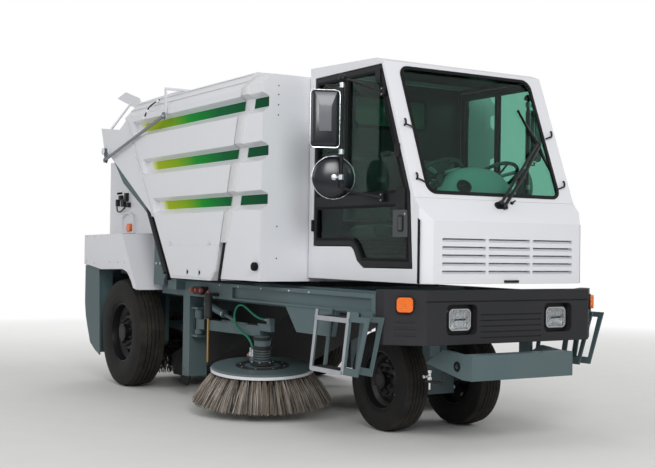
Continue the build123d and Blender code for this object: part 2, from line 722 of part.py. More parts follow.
with BuildPart() as steps:
    for side in sides.values():
        step_y = side * 1035
        for height, start, run in ((890, 3560, 450), (520, 3500, 420)):
            with Locations((ahead(start + run / 2), step_y, height)):
                Box(run, 130, 24)
        rear_post = along([(3560, 950), (3600, 950), (3520, 508), (3480, 508)])
        front_post = along([(3980, 950), (4110, 950), (4110, 920), (4250, 920), (4110, 508), (3900, 508)])
        window = along([(4020, 880), (4190, 880), (4090, 560), (3960, 560)])
        for inner in (beam_outer, 1085):
            extrude(flat(rear_post, side_plane(side * inner)), amount=-side * 10)
            extrude(flat(front_post, side_plane(side * inner)), amount=-side * 10)
            extrude(flat(window, side_plane(side * inner)), amount=-side * 10, mode=Mode.SUBTRACT)
steps.part.label = "steps"
export_step(steps.part, "parts/steps.step")

# Steered twin front wheels

with BuildPart() as front_yoke:
    with Locations((front_axle_x, 0, 884)):
        Cylinder(170, 18)
    with Locations((front_axle_x, 0, 935)):
        Cylinder(kingpin_r, 110)
    with Locations((front_axle_x, 0, 690)):
        Box(220, 240, 380)
    with Locations((front_axle_x, 0, front_tyre_r)):
        Box(200, 400, 240)
    with Locations((front_axle_x, 0, front_tyre_r)):
        Cylinder(front_spindle_r, 760, rotation=(90, 0, 0))
front_yoke.part.label = "front_yoke"
export_step(front_yoke.part, "parts/front_yoke.step")


def tyre_profile(inner_r, outer_r, width, middle):
    half = width / 2
    crown = outer_r - inner_r
    with BuildSketch(Plane.YZ, mode=Mode.PRIVATE) as face:
        with BuildLine():
            Polyline(
                (middle - half * 0.80, inner_r), (middle - half, inner_r + crown * 0.35),
                (middle - half, outer_r - crown * 0.30), (middle - half * 0.80, outer_r - crown * 0.04),
                (middle, outer_r),
                (middle + half * 0.80, outer_r - crown * 0.04), (middle + half, outer_r - crown * 0.30),
                (middle + half, inner_r + crown * 0.35), (middle + half * 0.80, inner_r), close=True,
            )
        make_face()
    return face.sketch


def rim_profile(rim_r, width, middle, side, bore_r):
    # Barrel, dished disc and a hub closed by its cap; half is where the bead seats end
    half = width / 2 * 0.80
    skin = 12
    hub_r = bore_r + 25
    across_and_out = (
        (-1.00, rim_r - skin), (-1.00, rim_r), (1.00, rim_r), (1.00, rim_r - skin), (0.35, rim_r - 2 * skin),
        (0.10, rim_r * 0.76), (0.45, rim_r * 0.56), (0.50, hub_r), (1.00, hub_r), (1.00, 0),
        (0.40, 0), (0.40, bore_r), (-0.40, bore_r), (-0.40, hub_r), (0.32, rim_r * 0.53),
        (-0.05, rim_r * 0.76), (-0.10, rim_r - skin),
    )
    with BuildSketch(Plane.YZ, mode=Mode.PRIVATE) as face:
        with BuildLine():
            Polyline(*[(middle + side * half * across, r) for across, r in across_and_out], close=True)
        make_face()
    return face.sketch


wheels = (
    # name, x, y, tyre radius, rim radius, tyre width, bore radius
    ("rear_%s", rear_axle_x, rear_track_half, rear_tyre_r, rear_rim_r, rear_tyre_width, rear_spindle_r),
    ("front_%s", front_axle_x, front_track_half, front_tyre_r, front_rim_r, front_tyre_width, front_spindle_r),
)
hand_holes = 8
for pattern, wheel_x, wheel_y, tyre_r, rim_r, width, spindle_r in wheels:
    for name, side in sides.items():
        label = pattern % name
        with BuildPart() as tyre:
            add(tyre_profile(rim_r, tyre_r, width, side * wheel_y))
            revolve(axis=Axis.Y)
        tyre.part.label = label + "_tyre"
        export_step(Pos(wheel_x, 0, tyre_r) * tyre.part, f"parts/{label}_tyre.step")
        with BuildPart() as rim:
            add(rim_profile(rim_r, width, side * wheel_y, side, spindle_r + running_gap))
            revolve(axis=Axis.Y)
            # Hand holes round the dished disc
            with BuildSketch(side_plane(side * wheel_y)):
                with PolarLocations(rim_r * 0.66, hand_holes):
                    Circle(rim_r * 0.075)
            extrude(amount=width / 2, both=True, mode=Mode.SUBTRACT)
        rim.part.label = label + "_rim"
        export_step(Pos(wheel_x, 0, tyre_r) * rim.part, f"parts/{label}_rim.step")

# Gutter brooms

gutter_centre = (ahead(2230), 800)
gutter_tilt = radians(5)
gutter_lean = (sin(gutter_tilt) * 0.85, -sin(gutter_tilt) * 0.53, cos(gutter_tilt))
gutter_height = 105
hose_r = 10
# Drive hose of a gutter broom: distance ahead, distance out, height
hose_route = (
    (2175, 862, 470), (2175, 862, 530), (2147, 868, 594), (2087, 880, 640), (2007, 892, 669),
    (1937, 900, 707), (1901, 902, 769), (1908, 900, 836), (1956, 897, 886), (2027, 893, 899),
    (2096, 879, 869), (2161, 861, 825), (2232, 840, 792), (2306, 822, 784), (2376, 822, 784),
)
for name, side in sides.items():
    spindle = Plane(
        origin=(gutter_centre[0], side * gutter_centre[1], gutter_height),
        x_dir=(1, 0, -gutter_lean[0] / gutter_lean[2]),
        z_dir=(gutter_lean[0], -side * gutter_lean[1], gutter_lean[2]),
    )
    with BuildPart() as gutter_arm:
        with Locations((gutter_pin[0], side * gutter_pin[1], 700)):
            Cylinder(45, 220)
        with BuildSketch(Plane.XY.offset(640)):
            with BuildLine():
                Polyline(
                    (gutter_pin[0], side * 860), (ahead(2250), side * 760), (ahead(2250), side * 840),
                    (gutter_pin[0], side * 940), close=True,
                )
            make_face()
        extrude(amount=90)
        with Locations((gutter_pin[0], side * gutter_pin[1], 700)):
            Cylinder(gutter_pin_r + running_gap, 300, mode=Mode.SUBTRACT)
        with BuildSketch(spindle.offset(306)):
            Circle(70)
        extrude(amount=240)
        # Port block on the motor, and the block at the arm's tip where the hose ends
        with Locations((ahead(2195), side * 850, hose_route[0][2] - 22)):
            Box(90, 60, 44)
        with Locations((ahead(2320), side * 820, 720)):
            Box(220, 40, 60)
        with Locations((ahead(hose_route[-1][0] + 25), side * hose_route[-1][1], 770)):
            Box(50, 50, 60)
        # Lift cylinder from a mast near the pin down to the arm
        lift_top = (ahead(1330), side * 889, 872)
        lift_foot = (ahead(1780), side * 850, 755)
        with Locations((lift_top[0], lift_top[1], 800)):
            Box(60, 24, 200)
        with Locations((lift_foot[0], lift_foot[1], 735)):
            Box(60, 30, 60)
        extrude(rod_end(lift_top, lift_foot, 32), amount=330)
        extrude(rod_end(lift_top, lift_foot, 16), amount=dist(lift_top, lift_foot))
    gutter_arm.part.label = f"gutter_arm_{name}"
    export_step(gutter_arm.part, f"parts/gutter_arm_{name}.step")

    with BuildPart() as gutter_hose:
        route = [Vector(ahead(x), side * y, z) for x, y, z in hose_route]
        runs = [(end - start) for start, end in zip(route, route[1:])]
        turns = [before.get_angle(after) for before, after in zip(runs, runs[1:])]
        bends = [
            0.45 * min(before.length, after.length) / tan(radians(turn / 2))
            for before, after, turn in zip(runs, runs[1:], turns)
        ]
        with BuildLine():
            FilletPolyline(*route, radius=bends)
        with BuildSketch(Plane(origin=route[0], z_dir=runs[0])):
            Circle(hose_r)
        sweep()
    gutter_hose.part.label = f"gutter_hose_{name}"
    export_step(gutter_hose.part, f"parts/gutter_hose_{name}.step")
    print(f"gutter_hose_{name} bend radii", [round(bend) for bend in bends])

    with BuildPart() as gutter_broom:
        with BuildSketch(Plane.XZ):
            with BuildLine():
                Polyline(
                    (0, 250), (400, 250), (600, 0), (430, 0), (300, 215), (0, 215), close=True,
                )
            make_face()
        revolve(axis=Axis.Z)
        # Slots between the tufts of bristles
        with PolarLocations(520, 36):
            Box(260, 14, 450, mode=Mode.SUBTRACT)
        with Locations((0, 0, 275)):
            Cylinder(430, 50)
    gutter_broom.part.label = f"gutter_broom_{name}"
    export_step(spindle.location * gutter_broom.part, f"parts/gutter_broom_{name}.step")

# Main broom behind the drive wheels

broom_r = 330
broom_half = 755
broom_shaft_r = 30
cross_tube = (ahead(-165), 600)
with BuildPart() as broom_arms:
    # Inner arms beside the elevator, a cross tube behind the wheel hubs, and end plates that hold the shaft
    inner_arm = [
        (broom_pin[0] + 35, broom_pin[1] + 30), (broom_pin[0] + 35, broom_pin[1] - 30),
        (cross_tube[0] - 20, cross_tube[1] - 28), (cross_tube[0] - 20, cross_tube[1] + 28),
    ]
    end_plate = [
        (cross_tube[0] + 28, cross_tube[1] + 28), (cross_tube[0] + 28, cross_tube[1] - 28),
        (broom_centre[0] + 40, broom_centre[1] - 45), (broom_centre[0] - 45, broom_centre[1] - 45),
        (broom_centre[0] - 45, broom_centre[1] + 45), (cross_tube[0] - 30, cross_tube[1] + 28),
    ]
    for side in sides.values():
        extrude(flat(inner_arm, side_plane(side * 640)), amount=-side * 22)
        with Locations((broom_pin[0], side * 651, broom_pin[1])):
            Cylinder(broom_pin_r + running_gap, 40, rotation=(90, 0, 0), mode=Mode.SUBTRACT)
        extrude(flat(end_plate, side_plane(side * 772)), amount=-side * 22)
    with Locations((cross_tube[0], 0, cross_tube[1])):
        Cylinder(25, 2 * 794, rotation=(90, 0, 0))
    with Locations((broom_centre[0], 0, broom_centre[1])):
        Cylinder(broom_shaft_r, 2 * 790, rotation=(90, 0, 0))
broom_arms.part.label = "broom_arms"
export_step(broom_arms.part, "parts/broom_arms.step")

with BuildPart() as main_broom:
    # Rows of bristles set in a core tube
    core_r = 130
    bristle_rows = 12
    with BuildSketch(side_plane(-broom_half)):
        with Locations(broom_centre):
            Circle(core_r)
            with PolarLocations((core_r + broom_r) / 2, bristle_rows):
                Rectangle(broom_r - core_r + 20, 60)
            Circle(broom_shaft_r + running_gap, mode=Mode.SUBTRACT)
    extrude(amount=-2 * broom_half)
main_broom.part.label = "main_broom"
export_step(main_broom.part, "parts/main_broom.step")
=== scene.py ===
# Street sweeper truck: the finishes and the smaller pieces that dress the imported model, in metres
import json
from math import atan2, cos, hypot, pi, radians, sin
from random import Random

import bmesh
import bpy
from mathutils import Matrix, Vector


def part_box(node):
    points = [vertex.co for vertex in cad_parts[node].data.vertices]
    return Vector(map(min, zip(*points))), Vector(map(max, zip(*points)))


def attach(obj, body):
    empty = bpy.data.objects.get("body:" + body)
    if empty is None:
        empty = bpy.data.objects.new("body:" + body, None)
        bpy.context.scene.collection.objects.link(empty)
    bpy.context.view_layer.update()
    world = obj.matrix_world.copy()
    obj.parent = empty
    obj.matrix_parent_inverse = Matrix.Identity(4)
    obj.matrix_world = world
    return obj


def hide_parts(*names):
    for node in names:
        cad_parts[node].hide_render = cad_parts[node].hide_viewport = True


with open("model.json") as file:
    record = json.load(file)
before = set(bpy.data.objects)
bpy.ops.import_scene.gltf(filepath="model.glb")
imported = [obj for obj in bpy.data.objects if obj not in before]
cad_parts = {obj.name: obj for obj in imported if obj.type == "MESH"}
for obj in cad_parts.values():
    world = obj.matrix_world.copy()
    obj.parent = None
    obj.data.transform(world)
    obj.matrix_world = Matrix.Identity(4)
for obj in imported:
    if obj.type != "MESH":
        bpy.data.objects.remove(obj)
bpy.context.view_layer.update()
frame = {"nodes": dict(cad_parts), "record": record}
tyreLow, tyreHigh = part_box("rear_right_tyre")
rearAxleX = (tyreLow.x + tyreHigh.x) / 2
sides = {"right": -1, "left": 1}
sideAxes = ((1, 0, 0), (0, 0, 1))  # how an outline lies on the truck's side, and on its front
frontAxes = ((0, 1, 0), (0, 0, 1))
upright = Vector((0, 0, 1))


def ahead(distance):
    return rearAxleX + distance  # stations along the truck are counted from the rear axle


def at(distance, y, z, side=1):
    return Vector((ahead(distance), side * y, z))


def stations(outline):
    return [(ahead(x), z) for x, z in outline]


# Camera, fitted to the photograph
photoCamera = {"place": (8.66944, -5.28502, 1.38082), "yaw": .5564, "pitch": .01325, "roll": .01402,
               "focalPixels": 1115.29, "imageWidth": 655, "sensor": 36}
yaw, pitch, roll = (photoCamera[angle] for angle in ("yaw", "pitch", "roll"))
forward = Vector((-cos(yaw) * cos(pitch), sin(yaw) * cos(pitch), sin(pitch)))
levelRight = Vector((sin(yaw), cos(yaw), 0))
levelUp = levelRight.cross(forward)
cameraRight = levelRight * cos(roll) + levelUp * sin(roll)
cameraUp = levelUp * cos(roll) - levelRight * sin(roll)
cameraData = bpy.data.cameras.new("photoCamera")
cameraData.sensor_width = photoCamera["sensor"]
cameraData.lens = photoCamera["focalPixels"] / photoCamera["imageWidth"] * photoCamera["sensor"]
cameraData.clip_end = 200
camera = bpy.data.objects.new("photoCamera", cameraData)
bpy.context.scene.collection.objects.link(camera)
camera.matrix_world = Matrix.Translation(photoCamera["place"]) @ Matrix(
    (cameraRight, cameraUp, -forward)).transposed().to_4x4()
bpy.context.scene.camera = camera
print("camera ready")


# Finishes
def rgb(red, green, blue):
    # a screen colour, 0 to 255, as the light value that the shader wants
    parts = [value / 255 for value in (red, green, blue)]
    return tuple(part / 12.92 if part < .04045 else ((part + .055) / 1.055) ** 2.4 for part in parts)


def shade(colour, factor):
    return tuple(part * factor for part in colour)


class Wire:
    # one shader socket; a sum written on it adds Math nodes
    def __init__(self, nodes, socket):
        self.nodes = nodes
        self.socket = socket

    def maths(self, operation, first, second):
        return self.nodes.node("ShaderNodeMath", {"operation": operation}, {0: first, 1: second})

    def __add__(self, other):
        return self.maths("ADD", self, other)

    def __radd__(self, other):
        return self.maths("ADD", other, self)

    def __sub__(self, other):
        return self.maths("SUBTRACT", self, other)

    def __rsub__(self, other):
        return self.maths("SUBTRACT", other, self)

    def __mul__(self, other):
        return self.maths("MULTIPLY", self, other)

    def __rmul__(self, other):
        return self.maths("MULTIPLY", other, self)

    def __truediv__(self, other):
        return self.maths("DIVIDE", self, other)

    def __gt__(self, other):
        return self.maths("GREATER_THAN", self, other)

    def __lt__(self, other):
        return self.maths("LESS_THAN", self, other)

    def size(self):
        return self.maths("ABSOLUTE", self, 0)

    def most(self, other):
        return self.maths("MAXIMUM", self, other)

    def held(self):
        return self.nodes.node("ShaderNodeClamp", {}, {"Value": self})


class Nodes:
    # a node tree, and the one way in which nodes are added to it
    def __init__(self, tree):
        self.tree = tree

    def feed(self, socket, value):
        if isinstance(value, Wire):
            self.tree.links.new(value.socket, socket)
        elif socket.type == "RGBA" and len(value) == 3:
            socket.default_value = (*value, 1)
        else:
            socket.default_value = value

    def node(self, kind, settings, inputs, output=0):
        made = self.tree.nodes.new(kind)
        for name, value in settings.items():
            if name == "stops":
                ends = made.color_ramp.elements
                for place, colour in value[1:-1]:
                    ends.new(place).color = (*colour, 1)
                for end, (place, colour) in ((ends[0], value[0]), (ends[len(ends) - 1], value[-1])):
                    end.position, end.color = place, (*colour, 1)
            else:
                setattr(made, name, value)
        for name, value in inputs.items():
            self.feed(made.inputs[name], value)
        return Wire(self, made.outputs[output])


class Finish(Nodes):
    def __init__(self, name, colour, roughness=.5, metallic=0, constants=None):
        self.material = bpy.data.materials.new(name)
        self.material.use_nodes = True
        super().__init__(self.material.node_tree)
        self.shader = self.tree.nodes["Principled BSDF"]
        self.colour = rgb(*colour)
        self.material.diffuse_color = (*self.colour, 1)
        self.give("Base Color", self.colour)
        self.give("Roughness", roughness)
        self.give("Metallic", metallic)
        for socket, value in (constants or {}).items():
            self.give(socket, value)

    def give(self, socket, value):
        self.feed(self.shader.inputs[socket], value)

    def place(self):
        return self.node("ShaderNodeTexCoord", {}, {}, "Object")

    def axes(self):
        split = self.node("ShaderNodeSeparateXYZ", {}, {0: self.place()})
        return [Wire(self, output) for output in split.socket.node.outputs]

    def grain(self, scale, detail=3, stretch=None):
        spot = self.place()
        if stretch:
            spot = self.node("ShaderNodeMapping", {}, {"Vector": spot, "Scale": stretch})
        return self.node("ShaderNodeTexNoise", {}, {"Vector": spot, "Scale": scale, "Detail": detail})

    def blend(self, share, first, second):
        return self.node("ShaderNodeMix", {"data_type": "RGBA"}, {0: share, 6: first, 7: second}, 2)

    def ramp(self, value, stops):
        return self.node("ShaderNodeValToRGB", {"stops": stops}, {0: value})

    def ribs(self, axis, width):
        return self.node("ShaderNodeMath", {"operation": "PINGPONG"}, {0: self.axes()[axis], 1: width})

    def relief(self, height, distance, strength=1, edge=0):
        inputs = {"Height": height, "Distance": distance, "Strength": strength}
        if edge:
            inputs["Normal"] = self.node("ShaderNodeBevel", {"samples": 4}, {"Radius": edge})
        self.give("Normal", self.node("ShaderNodeBump", {}, inputs))


def paint(name, colour, roughness=.32, dusty=.3, edge=.005, coat=.3, grit=.0003, dark=.93,
          dust=(150, 140, 124), gloss=.4):
    # sprayed paint: a little drift in tone, and road dust that lies thickest near the ground
    finish = Finish(name, colour, roughness, 0,
                    {"Coat Weight": coat, "Coat Roughness": .12, "Specular IOR Level": gloss})
    height = finish.axes()[2]
    broad, fine = finish.grain(1.6, 4), finish.grain(30, 5)
    film = ((1.3 - height).held() * (broad * 1.6 - .45).held() * (fine + .45) * dusty * 1.8).held()
    tone = finish.blend(broad, shade(finish.colour, dark), finish.colour)
    finish.give("Base Color", finish.blend(film, tone, rgb(*dust)))
    finish.give("Roughness", film * .35 + roughness + fine * .06)
    finish.relief(fine, grit, 1, edge)
    return finish


def metal(name, colour, roughness=.3, stretch=(1, 1, 1), stain=(120, 112, 100), worn=.35):
    # bare metal: fine scratches one way, and a dull film here and there
    finish = Finish(name, colour, roughness, 1)
    broad, lines = finish.grain(9, 5), finish.grain(160, 3, stretch)
    patch = (broad * 2.6 - 1.15).held() * worn
    finish.give("Base Color", finish.blend(patch, finish.colour, rgb(*stain)))
    finish.give("Roughness", lines * .16 + patch * .5 + (roughness - .05))
    finish.relief(lines, .0002)
    return finish


def rubber(name, colour, roughness=.72, grit=.0004, dust=(66, 61, 54), dusty=.35, gloss=.22):
    # rubber and moulded plastic: a fine grit, and dust in patches
    finish = Finish(name, colour, roughness, 0, {"Specular IOR Level": gloss})
    broad, fine = finish.grain(6, 5), finish.grain(110, 3)
    film = (broad * 2 - .75).held() * dusty
    finish.give("Base Color", finish.blend(film, finish.colour, rgb(*dust)))
    finish.give("Roughness", film * .2 + roughness)
    finish.relief(fine, grit)
    return finish


whitePaint = paint("whitePaint", (228, 229, 234), .3, .12, .006, .3, .0001, .955)
greyGreenPaint = paint("greyGreenPaint", (82, 103, 108), .42, .22, .005, .1, .0003, .88, (118, 114, 104), .3)
charcoalPlastic = paint("charcoalPlastic", (44, 45, 49), .6, .2, .006, 0, .0007, .85, (84, 78, 70), .2)
blackPaint = paint("blackPaint", (19, 20, 23), .38, .12, .003, .05, .0002, .85, (74, 68, 60), .25)
engineIron = paint("engineIron", (48, 50, 52), .75, .3, .004, 0, .002, .8, (90, 84, 74), .2)
darkSteel = paint("darkSteel", (36, 38, 41), .5, .18, .003, 0, .0006, .8, (84, 78, 70), .25)
# grey paint of the lid link; on the mirror shells' channel the same grey is a painted highlight
linkGreyAndHighlight = paint("linkGreyAndHighlight", (112, 114, 120), .4, .1)
vinylWhite = paint("vinylWhite", (214, 215, 218), .55, .15, .004, 0, .0012, .86)
brightSteel = metal("brightSteel", (196, 200, 206), .3, (1, 1, 14))
chrome = metal("chrome", (225, 227, 230), .1, (1, 1, 1), (150, 146, 138), .2)
brass = metal("brass", (176, 142, 84), .35, (1, 1, 8))
redPaint = paint("redPaint", (150, 44, 34), .45, .5, .002)
gasketRubber = rubber("gasketRubber", (14, 14, 16), .6, .0002, (48, 46, 42), .2, .15)
greenHose = rubber("greenHose", (12, 112, 86), .34, .0002, (60, 120, 100), .25, .4)
cabPlastic = rubber("cabPlastic", (152, 176, 174), .6, .0006, (160, 180, 174), .3)
latchGrey = rubber("latchGrey", (74, 77, 80), .5, .0004, (92, 92, 90), .25)
darkPlastic = rubber("darkPlastic", (28, 30, 32), .5, .0005, (52, 52, 52), .2, .2)
mirrorShell = rubber("mirrorShell", (20, 22, 30), .22, .0001, (40, 42, 50), .15, .5)
treadRubber = rubber("treadRubber", (34, 33, 32), .85, .0006, (92, 84, 72), .45)
sidewallRubber = rubber("sidewallRubber", (25, 25, 26), .7, .0004, (62, 57, 50), .4)
mirrorGlass = Finish("mirrorGlass", (205, 210, 212), .03, 1)
mirrorGlass.give("Roughness", (mirrorGlass.grain(14, 4) * 1.6 - .8).held() * .25 + .03)
tintedGlass = Finish("tintedGlass", (160, 205, 190), .02, 0, {"Transmission Weight": 1, "IOR": 1.24})
tintedGlass.give("Roughness", (tintedGlass.grain(5, 5) * 1.8 - 1.0).held() * .04 + .01)
clearLens = Finish("clearLens", (236, 240, 242), .06, 0, {"Transmission Weight": .85, "IOR": 1.49})
clearLens.relief(clearLens.ribs(1, .007), .6, .7)

cabPaint = paint("cabPaint", (228, 229, 234), .3, .12, .006, .3, .0001, .955)
cabRoom = {"halfWidth": .712, "rear": 2.895, "floor": 1.185, "roof": 2.752, "screenFoot": (4.262, 1.745),
           "screenTilt": atan2(394, 995), "screenDepth": .026, "front": 4.36}
tilt = cabRoom["screenTilt"]
cabX, cabY, cabZ = cabPaint.axes()
screenGap = (cabX - ahead(cabRoom["screenFoot"][0])) * cos(tilt) + (cabZ - cabRoom["screenFoot"][1]) * sin(tilt)
# where the cab's inside is, the white paint gives way to painted shade
within = ((cabY.size() < cabRoom["halfWidth"]) * (cabX > ahead(cabRoom["rear"])) * (cabZ > cabRoom["floor"])
          * (cabZ < cabRoom["roof"]) * (screenGap < -cabRoom["screenDepth"]) * (cabX < ahead(cabRoom["front"])))
outsideColour = Wire(cabPaint, cabPaint.shader.inputs["Base Color"].links[0].from_socket)
cabInsideShade = cabPaint.blend(cabPaint.grain(60, 4), rgb(12, 14, 18), rgb(26, 29, 33))
cabPaint.give("Base Color", cabPaint.blend(within, outsideColour, cabInsideShade))  # inside the cab the paint turns near black: a charcoal lining darkened as painted shade


def lampPlastic(name, colour, glow):
    finish = Finish(name, colour, .16, 0, {"Coat Weight": .5, "Emission Strength": .06})
    fine = finish.grain(45, 3)
    finish.give("Base Color", finish.blend(fine, shade(finish.colour, .72), finish.colour))
    finish.give("Emission Color", finish.blend(fine, shade(rgb(*glow), .5), rgb(*glow)))
    finish.relief(finish.ribs(2, .006), .5, .6, .004)
    return finish


amberLens = lampPlastic("amberLens", (246, 116, 18), (255, 110, 10))
redLens = lampPlastic("redLens", (186, 18, 16), (200, 16, 12))

seatCloth = Finish("seatCloth", (44, 46, 50), .9, 0, {"Sheen Weight": .3})
warp, weft = (seatCloth.node("ShaderNodeTexWave", {"wave_type": "BANDS", "bands_direction": way},
                             {"Vector": seatCloth.place(), "Scale": 180, "Distortion": .6}) for way in "YX")
seatCloth.give("Base Color", seatCloth.blend(warp * weft, rgb(34, 36, 40), rgb(66, 68, 74)))
seatCloth.relief(warp + weft, .0006)


def bristle(name, colour):
    finish = Finish(name, colour, .55)
    streak = finish.grain(30, 4)
    finish.give("Base Color", finish.blend(streak, shade(finish.colour, .72), finish.colour))
    finish.relief(streak, .0005)
    return finish


bristleStraw = bristle("bristleStraw", (222, 214, 204))
bristleTan = bristle("bristleTan", (180, 168, 154))
bristleBrown = bristle("bristleBrown", (128, 116, 104))
bristleDark = bristle("bristleDark", (50, 46, 44))

stripe = {"start": .262, "end": 2.85, "topZ": 2.58, "lean": .7047,
          "stops": ((0, (228, 229, 226)), (.022, (214, 218, 150)), (.06, (166, 182, 24)), (.25, (132, 172, 18)),
                    (.42, (18, 146, 46)), (.66, (0, 98, 50)), (1, (0, 66, 40)))}
stripePaint = Finish("stripePaint", (30, 140, 60), .5, 0, {"Specular IOR Level": .07})
stripeX, stripeZ = stripePaint.axes()[::2]
startX = (stripe["topZ"] - stripeZ) * stripe["lean"] + ahead(stripe["start"])
along = ((stripeX - startX) / (ahead(stripe["end"]) - startX)).held()
stripePaint.give("Base Color", stripePaint.ramp(along, [(place, rgb(*colour)) for place, colour in stripe["stops"]]))
stripePaint.relief(stripePaint.grain(30, 5), .0001)

slotFinish = {
    "white_paint": whitePaint, "chassis_paint": greyGreenPaint, "charcoal_paint": charcoalPlastic,
    "black_paint": blackPaint, "engine_iron": engineIron, "step_metal": greyGreenPaint, "rod_chrome": chrome,
    "tyre": treadRubber, "bristle": bristleBrown, "cab_plastic": cabPlastic, "seat_cloth": seatCloth,
    "tinted_glass": tintedGlass, "clear_lamp": clearLens, "amber_lamp": amberLens, "red_lamp": redLens,
    "hose_rubber": greenHose,
}
nodeFinish = {"cab_shell": cabPaint, "cab_nose": cabPaint, "lid_link": linkGreyAndHighlight, "elevator": darkSteel}
for row in frame["record"]["subparts"]:
    for materialSlot in frame["nodes"][row["node"]].material_slots:
        materialSlot.material = nodeFinish.get(row["node"], slotFinish[row["material_slot"]]).material
print("finishes ready")


# Shapes
class Piece:
    def __init__(self, name, body, slot, finish, home=None):
        self.name, self.body, self.slot = name, body, slot
        self.finishes = [finish]
        self.home = home or Matrix()
        self.shape = bmesh.new()
        self.index = 0

    def use(self, finish):
        # the finish that the next shapes take
        if finish not in self.finishes:
            self.finishes.append(finish)
        self.index = self.finishes.index(finish)

    def skin(self, points, loops):
        corners = [self.shape.verts.new(point) for point in points]
        for loop in loops:
            self.shape.faces.new([corners[number] for number in loop]).material_index = self.index

    def block(self, low, high):
        points = [(x, y, z) for x in (low[0], high[0]) for y in (low[1], high[1]) for z in (low[2], high[2])]
        self.skin(points, [(0, 1, 3, 2), (4, 6, 7, 5), (0, 4, 5, 1), (2, 3, 7, 6), (0, 2, 6, 4), (1, 5, 7, 3)])

    def rings(self, rings, closed=False, caps=True):
        # joins rings of points with the same count
        count = len(rings[0])
        loops = []
        for row in range(len(rings) if closed else len(rings) - 1):
            near, far = row * count, (row + 1) % len(rings) * count
            loops += [(near + i, near + (i + 1) % count, far + (i + 1) % count, far + i) for i in range(count)]
        if caps and not closed:
            last = (len(rings) - 1) * count
            loops += [tuple(reversed(range(count))), tuple(range(last, last + count))]
        self.skin([point for ring in rings for point in ring], loops)

    def slab(self, outline, spot, across, up, depth):
        spot, across, up, depth = Vector(spot), Vector(across), Vector(up), Vector(depth)
        near = [spot + across * u + up * v for u, v in outline]
        self.rings([near, [point + depth for point in near]])

    def band(self, outer, inner, spot, across, up, depth):
        spot, across, up, depth = Vector(spot), Vector(across), Vector(up), Vector(depth)
        outside, inside = ([spot + across * u + up * v for u, v in loop] for loop in (outer, inner))
        self.rings([outside, inside, [p + depth for p in inside], [p + depth for p in outside]], closed=True)

    def rod(self, start, end, radius, tip=None, steps=16):
        run = Vector(end) - Vector(start)
        self.lathe([(0, 0), (radius, 0), (radius if tip is None else tip, run.length), (0, run.length)],
                   start, run, steps)

    def lathe(self, outline, start, axis, steps=40):
        axis = Vector(axis).normalized()
        across = axis.orthogonal().normalized()
        up = axis.cross(across)
        self.rings([[Vector(start) + axis * height + across * u + up * v
                     for u, v in circle(max(radius, 1e-5), steps)] for radius, height in outline])

    def pipe(self, points, radius, steps=10, closed=False, flat=1):
        points = [Vector(point) for point in points]
        count = len(points)
        rings, across = [], None
        for i, point in enumerate(points):
            before = points[i - 1] if i or closed else point
            after = points[(i + 1) % count] if i < count - 1 or closed else point
            run = (after - before).normalized()
            across = (across - run * across.dot(run)).normalized() if across else run.orthogonal().normalized()
            up = run.cross(across) * flat
            rings.append([point + across * u + up * v for u, v in circle(radius, steps)])
        self.rings(rings, closed)

    def nut(self, spot, axis, radius, height):
        # hexagon head with a turned face
        self.lathe([(0, 0), (radius, 0), (radius, height * .8), (radius * .82, height), (0, height)], spot, axis, 6)

    def mesh(self, name):
        bmesh.ops.recalc_face_normals(self.shape, faces=self.shape.faces)
        mesh = bpy.data.meshes.new(name)
        self.shape.to_mesh(mesh)
        self.shape.free()
        for finish in self.finishes:
            mesh.materials.append(finish.material)
        return mesh

    def done(self, bevel=0, replaces=(), sharp=38):
        mesh = self.mesh(self.name)
        mesh.shade_smooth()
        mesh.set_sharp_from_angle(angle=radians(sharp))
        thing = bpy.data.objects.new(self.name, mesh)
        bpy.context.scene.collection.objects.link(thing)
        thing.matrix_world = self.home
        if bevel:
            rounding = thing.modifiers.new("rounding", "BEVEL")
            rounding.width, rounding.segments = bevel, 2
            rounding.limit_method, rounding.angle_limit = "ANGLE", radians(40)
            rounding.harden_normals = True
        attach(thing, self.body)
        if replaces:
            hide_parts(*replaces)


def around(count, shift=0):
    return [2 * pi * (i + shift) / count for i in range(count)]


def circle(radius, steps):
    return [(radius * cos(angle), radius * sin(angle)) for angle in around(steps)]


def roundedBox(width, height, corner, steps=6):
    points = []
    for quarter, (u, v) in enumerate(((1, 1), (-1, 1), (-1, -1), (1, -1))):
        for i in range(steps + 1):
            angle = pi / 2 * (quarter + i / steps)
            points.append((u * (width / 2 - corner) + corner * cos(angle),
                           v * (height / 2 - corner) + corner * sin(angle)))
    return points


def moved(outline, u, v):
    return [(a + u, b + v) for a, b in outline]


def grown(outline, margin):
    # the outline with every side moved out by the margin
    points = []
    count = len(outline)
    area = sum(outline[i - 1][0] * outline[i][1] - outline[i][0] * outline[i - 1][1] for i in range(count))
    turn = 1 if area > 0 else -1
    for i in range(count):
        before, here, after = (Vector(outline[j % count]) for j in (i - 1, i, i + 1))
        first, second = (here - before).normalized(), (after - here).normalized()
        firstOut, secondOut = (Vector((run.y, -run.x)) * turn for run in (first, second))
        joint = (firstOut + secondOut).normalized()
        points.append(tuple(here + joint * margin / max(joint.dot(firstOut), .3)))
    return points


def curved(points, steps=6):
    # a smooth line through the points
    points = [Vector(point) for point in points]
    line = []
    for i in range(len(points) - 1):
        a, b, c, d = (points[min(max(i + j, 0), len(points) - 1)] for j in (-1, 0, 1, 2))
        for step in range(steps):
            t = step / steps
            line.append(.5 * (2 * b + (c - a) * t + (2 * a - 5 * b + 4 * c - d) * t * t
                              + (3 * b - a - 3 * c + d) * t ** 3))
    return line + [points[-1]]


